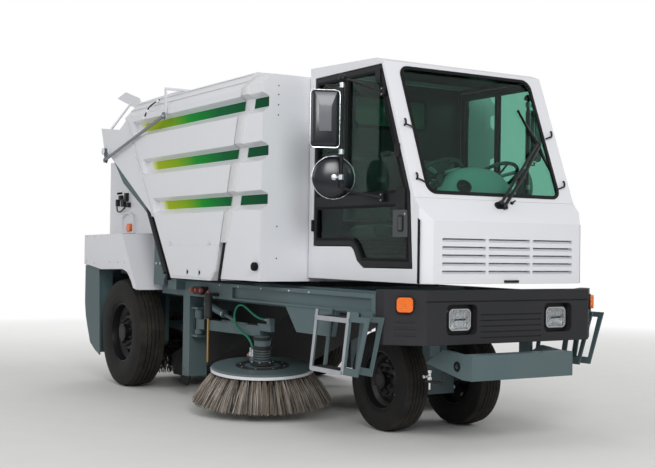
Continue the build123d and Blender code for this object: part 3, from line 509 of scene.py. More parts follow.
# Drive hoses of the gutter brooms, with their end fittings
driveHose = {
    "radius": .010, "length": 1.03,
    "route": ((2.175, .862, .470), (2.175, .862, .530), (2.147, .868, .594), (2.087, .880, .640), (2.007, .892, .669),
              (1.937, .900, .707), (1.901, .902, .769), (1.908, .900, .836), (1.956, .897, .886), (2.027, .893, .899),
              (2.096, .879, .869), (2.161, .861, .825), (2.232, .840, .792), (2.306, .822, .784),
              (2.376, .822, .784)),
    "footLength": .062, "tipLength": .056, "portPlace": (-.042, 0, 0), "capPlace": (-.054, 0, .004),
    "port": ((0, 0), (.016, 0), (.016, .034), (.009, .038), (.009, .072), (0, .076)),
    "cap": ((0, 0), (.018, 0), (.018, .022), (.015, .024), (0, .024)),
    "tipRing": ((.0152, .004), (.0185, .004), (.0185, .03), (.0152, .03)), "ringPlace": (-.002, 0, 0), "steps": 18,
}
for name, side in sides.items():
    route = [at(*spot, side) for spot in driveHose["route"]]
    curve = bpy.data.curves.new(f"driveHose_{name}", "CURVE")
    curve.dimensions = "3D"
    curve.bevel_depth = driveHose["radius"]
    curve.bevel_resolution = 4
    curve.use_fill_caps = True
    line = curve.splines.new("NURBS")
    line.points.add(len(route) - 1)
    for point, spot in zip(line.points, route):
        point.co = (*spot, 1)
    line.order_u = 3
    line.use_endpoint_u = True
    line.resolution_u = 8
    curve.materials.append(greenHose.material)
    hose = bpy.data.objects.new(f"driveHose_{name}", curve)
    bpy.context.scene.collection.objects.link(hose)
    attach(hose, f"gutter_arm_{name}")
    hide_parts(f"gutter_hose_{name}")

    fittings = Piece(f"hoseFittings_{name}", f"gutter_arm_{name}", "step_metal", brightSteel)
    foot, tip = route[0], route[-1]
    for spot, axis, end in ((foot, upright, driveHose["footLength"]), (tip, (-1, 0, 0), driveHose["tipLength"])):
        fittings.lathe([(0, -.001), (.017, -.001), (.017, .016), (.014, .018), (.014, end - .004), (.0108, end)],
                       spot, axis, driveHose["steps"])
    fittings.lathe(driveHose["port"], foot + Vector(driveHose["portPlace"]), upright, driveHose["steps"])
    fittings.use(redPaint)  # cap of the port beside the hose, and a ring at the far end
    fittings.lathe(driveHose["cap"], foot + Vector(driveHose["capPlace"]), (-1, 0, 0), driveHose["steps"])
    fittings.lathe(driveHose["tipRing"], tip + Vector(driveHose["ringPlace"]), (-1, 0, 0), driveHose["steps"])
    fittings.done(.0008)
print("hoses ready")


# Hopper and tank cover
hopperSide = {"half": 1.173, "grooveTops": (2.590, 2.210, 1.830), "grooveHeight": .155, "grooveDepth": .060,
              "upperSlope": .026, "lowerSlope": .044}
edges = {"rise": 1.480, "hopperFront": (2.072, 1.180, .428), "coverRear": (2.135, 1.120, .425),
         "hopperRear": (.127, 2.580, -1.043), "coverBend": 2.6}  # station and height of a point, then the run


def wallAt(z):
    # how far out the grooved side stands at a height
    for top in hopperSide["grooveTops"]:
        low = top - hopperSide["grooveHeight"]
        if low < z < top:
            fall = min((top - z) / hopperSide["upperSlope"], (z - low) / hopperSide["lowerSlope"], 1)
            return hopperSide["half"] - hopperSide["grooveDepth"] * fall
    return hopperSide["half"]


def edgeAt(edge, z):
    # station of a slanting edge at a height
    reach, height, run = edges[edge]
    return reach + (z - height) / edges["rise"] * run


def coverRear(z):
    return edgeAt("coverRear", min(z, edges["coverBend"]))


decals = {"proud": .0012, "thick": .0012, "margin": .004, "hopperInset": (.165, .110), "coverInset": .07,
          "coverFront": 2.849}
for part, body in (("hopper", "hopper"), ("cover", "chassis")):
    stripes = Piece(f"{part}Stripes", body, "white_paint", stripePaint)
    for side in sides.values():
        wall = side * (hopperSide["half"] - hopperSide["grooveDepth"] + decals["proud"])
        for top in hopperSide["grooveTops"]:
            low = top - hopperSide["grooveHeight"] + hopperSide["lowerSlope"] + decals["margin"]
            high = top - hopperSide["upperSlope"] - decals["margin"]
            if part == "hopper":
                rears = [edgeAt("hopperRear", top) + inset for inset in decals["hopperInset"]]
                fronts = [edgeAt("hopperFront", z) - decals["margin"] for z in (low, high)]
            else:
                rears = [coverRear(z) + decals["coverInset"] for z in (low, high)]
                fronts = [decals["coverFront"]] * 2
            ends = [(rears[0], low), (fronts[0], low), (fronts[1], high), (rears[1], high)]
            stripes.slab(stations(ends), (0, wall, 0), *sideAxes, (0, -side * decals["thick"], 0))
    stripes.done()

# Flexible trim that follows the grooves down the cover's rear edge, with a black seal under it
trim = {"width": .108, "overhang": .034, "proud": .016, "foot": 1.42, "top": 2.655, "bunch": .012,
        "sealFoot": 1.10, "sealAhead": .003, "sealLap": .004,
        "sealProfile": ((0, -.004, 0), (0, .010, 0), (.034, .010, 0), (.034, -.004, 0)),
        "shoulderRear": 2.563, "shoulder": ((1.090, 2.742), (1.02, 2.742)),
        "shoulderProfile": ((0, -.004, -.012), (0, 0, .006), (.048, 0, .008), (.096, 0, .006), (.108, 0, .001),
                            (.108, -.004, -.012))}


def trimRing(rear, out, z, side, profile):
    return [(ahead(rear) + u, side * (out + v), z + w) for u, v, w in profile]


coverTrim = Piece("coverTrim", "chassis", "white_paint", vinylWhite)
for side in sides.values():
    heights = [(trim["foot"], 0)]
    for top in reversed(hopperSide["grooveTops"]):
        low = top - hopperSide["grooveHeight"]
        heights += [(low - .15, .3), (low - .004, 0), (low + hopperSide["lowerSlope"], 1),
                    (top - hopperSide["upperSlope"], 1), (top + .004, 0), (top + .05, .3)]
    rings = []
    for z, fold in heights + [(trim["top"], 0)]:
        front = trim["width"] + trim["bunch"] * fold  # the vinyl bunches a little in the grooves
        rings.append(trimRing(coverRear(z) - trim["overhang"], wallAt(z), z, side, (
            (0, -.004, 0), (0, trim["proud"] + .003 * fold, 0),
            (trim["width"] * .45, trim["proud"] + .006 - .005 * fold, 0),
            (front - trim["bunch"], trim["proud"] * .8, 0), (front, .003, 0), (front, -.004, 0))))
    for out, z in trim["shoulder"]:  # over the shoulder and up to the roof's edge
        rings.append(trimRing(trim["shoulderRear"] - trim["overhang"], out, z, side, trim["shoulderProfile"]))
    coverTrim.use(vinylWhite)
    coverTrim.rings(rings)
    coverTrim.use(gasketRubber)
    coverTrim.rings([trimRing(coverRear(z) + trim["sealAhead"], hopperSide["half"], z, side, trim["sealProfile"])
                     for z in (trim["sealFoot"], trim["foot"] + trim["sealLap"])])
coverTrim.done(.002)

shoulderCap = {"rear": .004, "front": 2.474, "low": (1.112, 2.7151), "high": (1.0215, 2.7968), "thick": .004}
capLow, capHigh = Vector(shoulderCap["low"]), Vector(shoulderCap["high"])
capOut = Vector((capHigh.y - capLow.y, capLow.x - capHigh.x)).normalized() * shoulderCap["thick"]
shoulderCaps = Piece("shoulderCaps", "hopper", "white_paint", whitePaint)
for side in sides.values():
    shoulderCaps.rings([[at(reach, *corner, side) for corner in (capLow, capHigh, capHigh + capOut, capLow + capOut)]
                        for reach in (shoulderCap["rear"], shoulderCap["front"])])
shoulderCaps.done(.0015)

hopperTrim = {"hinges": (1.140, 1.944), "leafHalf": .028, "leafFoot": 1.392, "leafTop": 1.428, "leafProud": .007,
              "pinHalf": .030, "pinHeight": 1.397, "pinRadius": .006,
              "latches": (1.534, 1.777), "latchHeight": 1.163, "slotHalf": (.002, .023), "slotMiddle": 1.163,
              "latch": ((0, 0), (.013, 0), (.013, .004), (.010, .006), (0, .006)),
              "fold": ((.062, 2.600), (.725, 1.660)), "foldRadius": .0045}
hopperFittings = Piece("hopperFittings", "hopper", "white_paint", whitePaint)
for side in sides.values():
    face = side * hopperSide["half"]
    for reach in hopperTrim["hinges"]:  # hinge leaves over the low access panel
        hopperFittings.block(at(reach - hopperTrim["leafHalf"], face - .006, hopperTrim["leafFoot"]),
                             at(reach + hopperTrim["leafHalf"], face + side * hopperTrim["leafProud"],
                                hopperTrim["leafTop"]))
        hopperFittings.rod(*(at(reach + end * hopperTrim["pinHalf"], face + side * .006, hopperTrim["pinHeight"])
                             for end in (-1, 1)), hopperTrim["pinRadius"])
    hopperFittings.pipe([at(x, face, z) for x, z in hopperTrim["fold"]], hopperTrim["foldRadius"], 8)
    hopperFittings.use(darkSteel)
    slotX, slotZ = hopperTrim["slotHalf"]
    for reach in hopperTrim["latches"]:  # slotted latches
        hopperFittings.lathe(hopperTrim["latch"], at(reach, face + side * .004, hopperTrim["latchHeight"]),
                             (0, side, 0), 20)
        hopperFittings.block(at(reach - slotX, face + side * .009, hopperTrim["slotMiddle"] - slotZ),
                             at(reach + slotX, face + side * .013, hopperTrim["slotMiddle"] + slotZ))
    hopperFittings.use(whitePaint)
hopperFittings.done(.0012)

coverBits = {"bolts": (2.42, 2.50, 2.58, 2.65, 1.30, 1.55), "boltReach": 2.850, "boltOut": 1.03,
             "bolt": ((0, 0), (.006, 0), (.006, .002), (0, .003)), "stopPlace": (2.79, 1.173, 1.235),
             "stop": ((0, 0), (.030, 0), (.034, .010), (.034, .030), (.026, .038), (0, .040))}
coverFittings = Piece("coverFittings", "chassis", "white_paint", darkSteel)
for side in sides.values():
    for height in coverBits["bolts"]:
        coverFittings.lathe(coverBits["bolt"], at(coverBits["boltReach"], coverBits["boltOut"], height, side),
                            (1, 0, 0), 12)
    coverFittings.use(gasketRubber)  # round rubber stop at the cab's rear corner
    coverFittings.lathe(coverBits["stop"], at(*coverBits["stopPlace"], side), (0, side, 0), 24)
    coverFittings.use(darkSteel)
coverFittings.done(.0008)
print("hopper ready")

# Lid, ears and posts
lidBits = {"wire": ((.52, 1.178, 2.62), (.60, 1.165, 2.70), (.68, 1.10, 2.765)), "wireRadius": .007,
           "knobs": ((.14, 1.150, 2.655), (.50, 1.182, 2.60), (.56, 1.168, 2.665), (.66, 1.11, 2.755)),
           "knob": ((0, -.022), (.016, -.016), (.022, 0), (.016, .016), (0, .022)), "knobLift": .4}
lidFittings = Piece("lidFittings", "hopper", "white_paint", whitePaint)
for side in sides.values():
    lidFittings.use(blackPaint)
    lidFittings.pipe(curved([at(*spot, side) for spot in lidBits["wire"]]), lidBits["wireRadius"])
    lidFittings.use(whitePaint)
    for spot in lidBits["knobs"]:
        lidFittings.lathe(lidBits["knob"], at(*spot, side), (0, side, lidBits["knobLift"]), 16)
lidFittings.done()

postBits = {"capPlace": (-.520, 1.198, 2.350), "cap": ((0, 0), (.036, 0), (.036, .004), (.030, .009), (0, .010)),
            "nuts": ((.56, 1.42), (.56, 1.22), (.65, 1.22), (.65, 1.42)), "nutOut": 1.050, "nut": (.014, .010)}
postFittings = Piece("postFittings", "chassis", "chassis_paint", whitePaint)
for side in sides.values():
    postFittings.lathe(postBits["cap"], at(*postBits["capPlace"], side), (0, side, 0), 28)
    postFittings.use(brightSteel)
    for reach, height in postBits["nuts"]:
        postFittings.nut(at(reach, postBits["nutOut"], height, side), (0, side, 0), *postBits["nut"])
    postFittings.use(whitePaint)
postFittings.done(.001)
print("posts ready")


# Rear hood and fenders
fender = {"bolts": ((-.873, 1.475), (-.663, 1.475), (-.459, 1.475), (-.222, 1.220), (-.004, 1.220), (.181, 1.220),
                    (-.90, 1.22), (-.66, 1.20)), "boltOut": 1.220, "bolt": (.009, .006),
          "rearBolts": (.86, 1.0, 1.14), "rearReach": -.970, "rearHeight": 1.455,
          "edge": ((-.970, 1.190), (-.472, 1.140), (.118, 1.155), (.237, 1.129), (.345, 1.045), (.396, .980),
                   (.497, .964)), "edgeOut": 1.213, "edgeRadius": .006}
fenderBolts = Piece("fenderBolts", "chassis", "white_paint", brightSteel)
fenderEdge = Piece("fenderEdge", "chassis", "white_paint", gasketRubber)
for side in sides.values():
    for reach, height in fender["bolts"]:
        fenderBolts.nut(at(reach, fender["boltOut"], height, side), (0, side, 0), *fender["bolt"])
    for out in fender["rearBolts"]:
        fenderBolts.nut(at(fender["rearReach"], out, fender["rearHeight"], side), (-1, 0, 0), *fender["bolt"])
    fenderEdge.pipe([at(x, fender["edgeOut"], z, side) for x, z in fender["edge"]], fender["edgeRadius"], 8)
fenderBolts.done()
fenderEdge.done()

hood = {"side": .930, "scoopMiddle": -.443, "scoopHalf": .151, "scoopFoot": 1.530, "scoopShoulder": 1.640,
        "scoopCrown": .075, "scoopRim": .018, "scoopDepth": .034,
        "boxes": ((-.76, 1.80, .05, .07), (-.68, 1.86, .06, .05), (-.61, 1.79, .07, .08), (-.52, 1.84, .05, .09),
                  (-.46, 1.78, .05, .05)), "boxProud": .035,  # station, height, length and height of each
        "hose": ((-.74, .955, 1.83), (-.70, .965, 1.75), (-.60, .965, 1.74), (-.50, .955, 1.79)), "hoseRadius": .008,
        "handle": ((-.80, 1.925), (-.66, 1.945)), "handleProud": .004}
hoodFittings = Piece("hoodFittings", "chassis", "white_paint", whitePaint)
for side in sides.values():
    # raised scoop with a round top over the side lamp
    rear, front = hood["scoopMiddle"] - hood["scoopHalf"], hood["scoopMiddle"] + hood["scoopHalf"]
    arch = [(hood["scoopMiddle"] - hood["scoopHalf"] * cos(pi * i / 10),
             hood["scoopShoulder"] + hood["scoopCrown"] * sin(pi * i / 10)) for i in range(11)]
    scoop = stations([(rear, hood["scoopFoot"]), *arch, (front, hood["scoopFoot"])])
    hoodFittings.use(whitePaint)
    hoodFittings.band(grown(scoop, hood["scoopRim"]), scoop, (0, side * (hood["side"] - .004), 0), *sideAxes,
                      (0, side * hood["scoopDepth"], 0))
    hoodFittings.use(darkSteel)
    inner = side * hood["side"] - .004
    for x, z, length, height in hood["boxes"]:
        hoodFittings.block(at(x, inner, z), at(x + length, side * (hood["side"] + hood["boxProud"]), z + height))
    hoodFittings.use(blackPaint)
    hoodFittings.pipe(curved([at(*spot, side) for spot in hood["hose"]]), hood["hoseRadius"])
    hoodFittings.use(brightSteel)
    (rear, low), (front, high) = hood["handle"]
    hoodFittings.block(at(rear, inner, low), at(front, side * (hood["side"] + hood["handleProud"]), high))
hoodFittings.done(.002)

rearDoor = {"reach": -1.000, "out": .42, "height": 1.90, "width": .80, "tall": .64, "corner": .04, "thick": .006,
            "louvres": 7, "louvreFoot": 1.72, "louvreStep": .045, "louvreHalf": .24, "louvreTall": .006,
            "hinges": (1.72, 2.08), "hingeOut": .83, "hingeHalf": .04, "hingeRadius": .006,
            "handle": ((-1.012, -.02, 1.88), (-1.004, .02, 1.96)), "handleOut": .06}
rearDoors = Piece("rearDoors", "chassis", "white_paint", whitePaint)
for side in sides.values():
    rearDoors.use(whitePaint)
    rearDoors.slab(moved(roundedBox(rearDoor["width"], rearDoor["tall"], rearDoor["corner"]), side * rearDoor["out"],
                         rearDoor["height"]), at(rearDoor["reach"], 0, 0), *frontAxes, (-rearDoor["thick"], 0, 0))
    # black strips on the door: painted shade standing in for the dark louvre slots
    rearDoors.use(blackPaint)
    half, tall = rearDoor["louvreHalf"], rearDoor["louvreTall"]
    for row in range(rearDoor["louvres"]):
        rearDoors.slab([(-half, 0), (half, 0), (half, tall), (-half, tall)],
                       at(rearDoor["reach"] - .0062, rearDoor["out"],
                          rearDoor["louvreFoot"] + row * rearDoor["louvreStep"], side), *frontAxes, (-.003, 0, 0))
    rearDoors.use(brightSteel)
    for z in rearDoor["hinges"]:
        rearDoors.rod(*(at(rearDoor["reach"] - .009, rearDoor["hingeOut"], z + end * rearDoor["hingeHalf"], side)
                        for end in (-1, 1)), rearDoor["hingeRadius"])
    rearDoors.block(*(at(x, side * rearDoor["handleOut"] + y, z) for x, y, z in rearDoor["handle"]))
rearDoors.done(.0015)
print("rear ready")


# Cab: glass seals, wiper, door trim and grille
screenOut = Vector((cos(tilt), 0, sin(tilt)))
screenUp = Vector((-sin(tilt), 0, cos(tilt)))
screen = {"foot": (4.262, 0, 1.745), "middle": .535, "width": 1.230, "height": .990, "corner": .070,
          "sealOut": .010, "sealIn": .016, "sealProud": .007, "sealThick": .0125}
rearWindow = {"place": (2.907, 0, 2.505), "width": .720, "height": .250, "corner": .045, "seal": .015,
              "sealThick": .008}
noseStrip = {"outline": ((-.014, 1.152), (.014, 1.152), (.014, 1.585), (-.014, 1.60)), "reach": 4.322,
             "out": .7448, "thick": .003}


def windowSeal(window, out, inward):
    # the outer and inner outlines of a seal
    return [roundedBox(window["width"] + 2 * margin, window["height"] + 2 * margin, window["corner"] + margin)
            for margin in (out, -inward)]


cabSeals = Piece("cabSeals", "chassis", "black_paint", gasketRubber)
cabSeals.band(*windowSeal(screen, screen["sealOut"], screen["sealIn"]),
              at(*screen["foot"]) + screenUp * screen["middle"] + screenOut * screen["sealProud"],
              (0, 1, 0), screenUp, screenOut * -screen["sealThick"])
cabSeals.band(*windowSeal(rearWindow, rearWindow["seal"], rearWindow["seal"]), at(*rearWindow["place"]), *frontAxes,
              (rearWindow["sealThick"], 0, 0))
for side in sides.values():  # black edge strips where the nose panel meets the cab's sides
    cabSeals.slab(noseStrip["outline"], at(noseStrip["reach"], noseStrip["out"], 0, side), *sideAxes,
                  (0, side * noseStrip["thick"], 0))
cabSeals.done(.003)

doorTrim = {
    "panes": (((2.990, 1.795), (2.990, 2.662), (3.380, 2.662), (3.380, 1.795)),
              ((3.410, 1.795), (3.410, 2.662), (3.808, 2.662), (4.146, 1.795)),
              ((2.990, 1.690), (2.990, 1.458), (3.495, 1.458), (3.560, 1.410), (3.630, 1.312), (4.186, 1.312),
               (4.164, 1.690))),
    "outline": ((2.940, 1.408), (2.940, 2.712), (3.842, 2.712), (4.208, 1.773), (4.242, 1.258), (3.640, 1.252),
                (3.560, 1.300), (3.510, 1.380), (3.470, 1.408)),
    "face": .745, "sealWidth": .014, "sealLap": .006, "proud": .004, "sealDepth": .022,
    "plate": ((4.020, 1.470), (4.020, 1.660), (4.150, 1.660), (4.186, 1.655), (4.192, 1.470)),
    "recess": (4.115, 1.565), "recessSize": (.075, .120, .02),
    # from and to, as station, proud of the face, height
    "lever": ((4.105, .008, 1.52), (4.135, .022, 1.61)),
    "windowStile":((3.384, -.020, 1.800), (3.408, -.012, 2.655)),
    "lock": (4.165, .007, 1.63), "lockCap": ((0, 0), (.008, 0), (.008, .004), (0, .005)),
    "edgeGap": .003, "edgeRadius": .006, "edgeIn": .016,
}
for name, side in sides.items():
    trims = Piece(f"doorTrim_{name}", f"door_{name}", "black_paint", gasketRubber)
    face = side * doorTrim["face"]
    for pane in doorTrim["panes"]:
        edge = stations(pane)
        trims.band(grown(edge, doorTrim["sealWidth"]), grown(edge, -doorTrim["sealLap"]),
                   (0, face + side * doorTrim["proud"], 0), *sideAxes, (0, -side * doorTrim["sealDepth"], 0))
    # latch plate with its finger recess, lever and lock; the recess is a thin black patch, painted shade instead of a
    # hollow
    trims.use(latchGrey)
    trims.slab(stations(doorTrim["plate"]), (0, face - side * .020, 0), *sideAxes, (0, side * .027, 0))
    # finger recess: a black patch laid on the plate as painted shade
    trims.use(blackPaint)
    recessX, recessZ = doorTrim["recess"]
    trims.slab(roundedBox(*doorTrim["recessSize"]), at(recessX, face + side * .0071, recessZ), *sideAxes,
               (0, side * .0012, 0))
    trims.use(latchGrey)
    trims.block(*(at(x, face + side * proud, z) for x, proud, z in doorTrim["lever"]))
    trims.use(brightSteel)
    x, proud, z = doorTrim["lock"]
    trims.lathe(doorTrim["lockCap"], at(x, face + side * proud, z), (0, side, 0), 14)
    trims.use(blackPaint)  # sliding half of the window
    trims.block(*(at(x, face + side * proud, z) for x, proud, z in doorTrim["windowStile"]))
    trims.use(gasketRubber)
    trims.pipe([at(x, face - side * doorTrim["edgeIn"], z)
                for x, z in grown(doorTrim["outline"], doorTrim["edgeGap"])], doorTrim["edgeRadius"], 8, closed=True)
    trims.done(.0015)

wiper = {"foot": (4.300, 0, 1.705), "elbow": (4.052, .555, 2.190), "bladeTop": (3.962, .430, 2.452),
         "bladeFoot": (4.142, .630, 1.948), "lift": .035, "spread": .017, "bow": .012, "armRadii": (.0085, .0075),
         "clamp": ((0, -.022), (.020, -.018), (.020, .014), (.012, .022), (0, .024)), "base": (.115, .055, .02),
         "knuckle": ((0, -.012), (.014, -.010), (.014, .010), (0, .012)), "nozzle": (4.277, .115, 1.728),
         "nozzleProfile": ((0, 0), (.012, 0), (.012, .014), (.007, .022), (0, .024))}
wipers = Piece("wiper", "chassis", "black_paint", blackPaint)
lift = screenOut * wiper["lift"]
foot, elbow = at(*wiper["foot"]) + lift * .6, at(*wiper["elbow"]) + lift
bladeTop, bladeFoot = at(*wiper["bladeTop"]) + lift * .7, at(*wiper["bladeFoot"]) + lift * .7
spread = (elbow - foot).cross(screenOut).normalized() * wiper["spread"]
for way, radius in zip((1, -1), wiper["armRadii"]):  # two arms side by side
    wipers.pipe([foot + spread * way, foot.lerp(elbow, .5) + spread * way * 1.1 + screenOut * wiper["bow"],
                 elbow + spread * way * .6], radius, 10, flat=1.5)
wipers.rod(foot.lerp(elbow, .42) + spread * 1.6, foot.lerp(elbow, .42) - spread * 1.6, .012)
for way in (1.1, -1.1):
    wipers.lathe(wiper["clamp"], foot + spread * way, screenOut, 18)
wipers.slab(roundedBox(*wiper["base"]), foot - screenOut * .024, (0, 1, 0), screenUp, screenOut * .012)
wipers.pipe([bladeTop.lerp(bladeFoot, .22), elbow - screenOut * .004, bladeTop.lerp(bladeFoot, .78)], .007, 8)
wipers.lathe(wiper["knuckle"], elbow, screenOut, 14)
wipers.use(gasketRubber)
for drop, radius, steps in ((.004, .008, 8), (.014, .004, 6)):
    wipers.pipe([bladeTop - screenOut * drop, bladeFoot - screenOut * drop], radius, steps)
wipers.use(darkPlastic)  # washer nozzle
nozzle = at(*wiper["nozzle"])
wipers.lathe(wiper["nozzleProfile"], nozzle, screenOut, 14)
wipers.pipe([nozzle + screenOut * .018, nozzle + screenOut * .024 + Vector((0, .022, .012))], .006, 8)
wipers.done(.001)

# Clips on the pillars: for each point, how far out of the screen, inward and up it
pillarClip = {"places": ((4.060, .690, 2.262), (4.205, .690, 1.872)),
              "hook": ((-.01, 0, 0), (.016, 0, 0), (.026, 0, .022), (.020, 0, .040)), "hookRadius": .0075,
              "arm": ((.014, 0, 0), (.020, .030, -.012), (.010, .062, -.022)), "armRadius": .006}
pillarClips = Piece("pillarClips", "chassis", "black_paint", blackPaint)
for side in sides.values():
    for place in pillarClip["places"]:
        for bend in ("hook", "arm"):
            line = [at(*place, side) + screenOut * out + Vector((0, -side * inward, 0)) + screenUp * up
                    for out, inward, up in pillarClip[bend]]
            pillarClips.pipe(curved(line), pillarClip[f"{bend}Radius"])
pillarClips.done()

grille = {"slotWidth": .385, "rows": 5, "rowStep": .0555, "columnStep": .410, "middle": 1.342, "gap": .001,
          "blade": ((4.398, -.0105), (4.400, -.0085), (4.370, .0065), (4.368, .0045)),
          "back": ((4.338, -.64, 1.205), (4.350, .64, 1.480)), "ribs": range(-6, 7), "ribStep": .1,
          "rib": ((4.350, -.004, 1.21), (4.354, .004, 1.475))}
grilleBlades = Piece("grilleBlades", "chassis", "white_paint", whitePaint)
half = grille["slotWidth"] / 2 - grille["gap"]
for column in (-1, 0, 1):
    for row in range(grille["rows"]):
        grilleBlades.slab(grille["blade"], at(0, column * grille["columnStep"] - half,
                                              grille["middle"] + (row - 2) * grille["rowStep"]),
                          *sideAxes, (0, 2 * half, 0))
# dark sheet behind the blades: the dark seen in the slots is painted shade
grilleBlades.use(darkPlastic)
grilleBlades.block(*(at(*corner) for corner in grille["back"]))
for rib in grille["ribs"]:
    grilleBlades.block(*(at(x, rib * grille["ribStep"] + y, z) for x, y, z in grille["rib"]))
grilleBlades.done(.0006)

latchBar = {"plate": ((4.385, -.050, 1.158), (4.412, .080, 1.176)),
            "pull":((4.408, -.040, 1.166), (4.408, .070, 1.166)),
            "pullRadius": .008}
noseLatch = Piece("noseLatch", "chassis", "black_paint", blackPaint)
noseLatch.block(*(at(*corner) for corner in latchBar["plate"]))
noseLatch.rod(*(at(*end) for end in latchBar["pull"]), latchBar["pullRadius"])
noseLatch.done(.002)
print("cab ready")

# Dashboard hump, gauge and hand wheels
hump = {"half": .345, "base": 1.650, "bow": 2.4, "steps": 24, "foot": .5, "footDrop": .02,
        "sections": ((3.944, 1.972), (3.952, 1.992), (4.000, 1.998), (4.045, 1.990), (4.085, 1.950), (4.130, 1.865),
                     (4.178, 1.760))}
gauge = {"place": (4.128, -.205, 1.842), "facing": (.80, -.22, .56), "ringRadii": (.038, .026), "ringHalf": .003,
         "case": ((0, -.03), (.056, -.03), (.056, .010), (.048, .014), (.044, .008), (.0, .008)),
         "knob": ((0, .0075), (.012, .0075), (.010, .018), (0, .018))}
dashHump = Piece("dashHump", "chassis", "cab_plastic", cabPlastic)
rings = []
for reach, top in hump["sections"]:
    ring = []
    for i in range(hump["steps"] + 1):
        y = hump["half"] * (2 * i / hump["steps"] - 1)
        rise = max(1 - abs(y / hump["half"]) ** hump["bow"], 0) ** (1 / hump["bow"])
        ring.append(at(reach, y, hump["base"] + (top - hump["base"]) * rise))
    rings.append(ring + [at(reach, way * hump["half"] * hump["foot"], hump["base"] - hump["footDrop"])
                         for way in (1, -1)])
dashHump.rings(rings)
dashHump.use(darkPlastic)
gaugeSpot, gaugeOut = at(*gauge["place"]), Vector(gauge["facing"]).normalized()
dashHump.lathe(gauge["case"], gaugeSpot, gaugeOut, 32)
for radius in gauge["ringRadii"]:
    wide, narrow = gauge["ringHalf"], gauge["ringHalf"] - .001
    dashHump.lathe([(radius - wide, .0075), (radius + wide, .0075), (radius + narrow, .012), (radius - narrow, .012),
                    (radius - wide, .0075)], gaugeSpot, gaugeOut, 32)
dashHump.lathe(gauge["knob"], gaugeSpot, gaugeOut, 20)
dashHump.done(sharp=50)

handWheel = {"place": (4.080, .270, 1.690), "tilt": radians(35), "length": .300, "radius": .182, "rim": .0142,
             "steps": 56, "spokes": 3, "spokeReach": (.03, .1, .176), "spokeRadius": .015, "stalk": .16,
             "boss": ((0, -.026), (.034, -.022), (.052, -.004), (.052, .010), (.040, .020), (0, .024)),
             "column": ((.029, 0), (.036, .01), (.036, .24), (.030, .262))}
handWheels = Piece("handWheels", "chassis", "cab_plastic", latchGrey)
axis = Vector((-sin(handWheel["tilt"]), 0, cos(handWheel["tilt"])))
across, up = Vector((0, 1, 0)), Vector((cos(handWheel["tilt"]), 0, sin(handWheel["tilt"])))
for side in sides.values():
    centre = at(*handWheel["place"], side) + axis * handWheel["length"]
    handWheels.pipe([centre + across * u + up * v for u, v in circle(handWheel["radius"], handWheel["steps"])],
                    handWheel["rim"], 12, closed=True)
    handWheels.lathe(handWheel["boss"], centre, axis, 28)
    for angle in around(handWheel["spokes"]):
        run = up * cos(angle) - across * sin(angle)
        start, middle, end = (centre + run * reach for reach in handWheel["spokeReach"])
        handWheels.pipe([start, middle - axis * .006, end], handWheel["spokeRadius"], 10, flat=.55)
    handWheels.lathe(handWheel["column"], centre - axis * (handWheel["length"] - .01), axis, 24)
    for way in (-1, 1):
        handWheels.pipe([centre - axis * .07, centre - axis * .06 + across * way * handWheel["stalk"]], .006, 8)
handWheels.done()
print("dashboard ready")


# Seats: bases with bellows, and cushions swollen from slightly smaller forms
seat = {"out": .340, "width": .470, "cushion": ((3.085, 1.455), (3.515, 1.474), (3.515, 1.570), (3.150, 1.560)),
        "back": ((3.045, 1.560), (3.145, 1.590), (3.072, 2.150), (2.982, 2.142)),
        "fill": {"cushion": .8, "back": .75}, "shrink": .012, "sideShrink": .016, "voxel": .012, "quickVoxel": .018,
        "pressure": 4, "frames": 20, "cap": .018}
seatBase = {"boxes": (((3.08, -.18, 1.212), (3.44, .18, 1.25)), ((3.09, -.20, 1.43), (3.50, .20, 1.452)),
                      ((2.985, -.17, 1.50), (3.030, .17, 2.02))),
            "bellowsReach": 3.26, "bellowsSize": .33, "bellowsCorner": .05, "bellowsFoot": 1.25, "folds": 11,
            "foldStep": .018, "foldDepth": .010}


def applied(thing):
    # works the modifiers into the thing's mesh
    mesh = bpy.data.meshes.new_from_object(thing.evaluated_get(bpy.context.evaluated_depsgraph_get()))
    thing.modifiers.clear()
    thing.data = mesh
    return mesh


def swell(thing):
    # short cloth run with pressure, each point held within the cap
    start = [vertex.co.copy() for vertex in thing.data.vertices]
    cloth = thing.modifiers.new("swelling", "CLOTH")
    cloth.settings.use_pressure = True
    cloth.settings.uniform_pressure_force = seat["pressure"]
    cloth.settings.effector_weights.gravity = 0
    cloth.settings.quality = 4
    cloth.point_cache.frame_start, cloth.point_cache.frame_end = 1, seat["frames"]
    for step in range(1, seat["frames"] + 1):
        bpy.context.scene.frame_set(step)
    for vertex, before in zip(applied(thing).vertices, start):
        move = vertex.co - before
        if move.length > seat["cap"]:
            vertex.co = before + move.normalized() * seat["cap"]
    bpy.context.scene.frame_set(1)


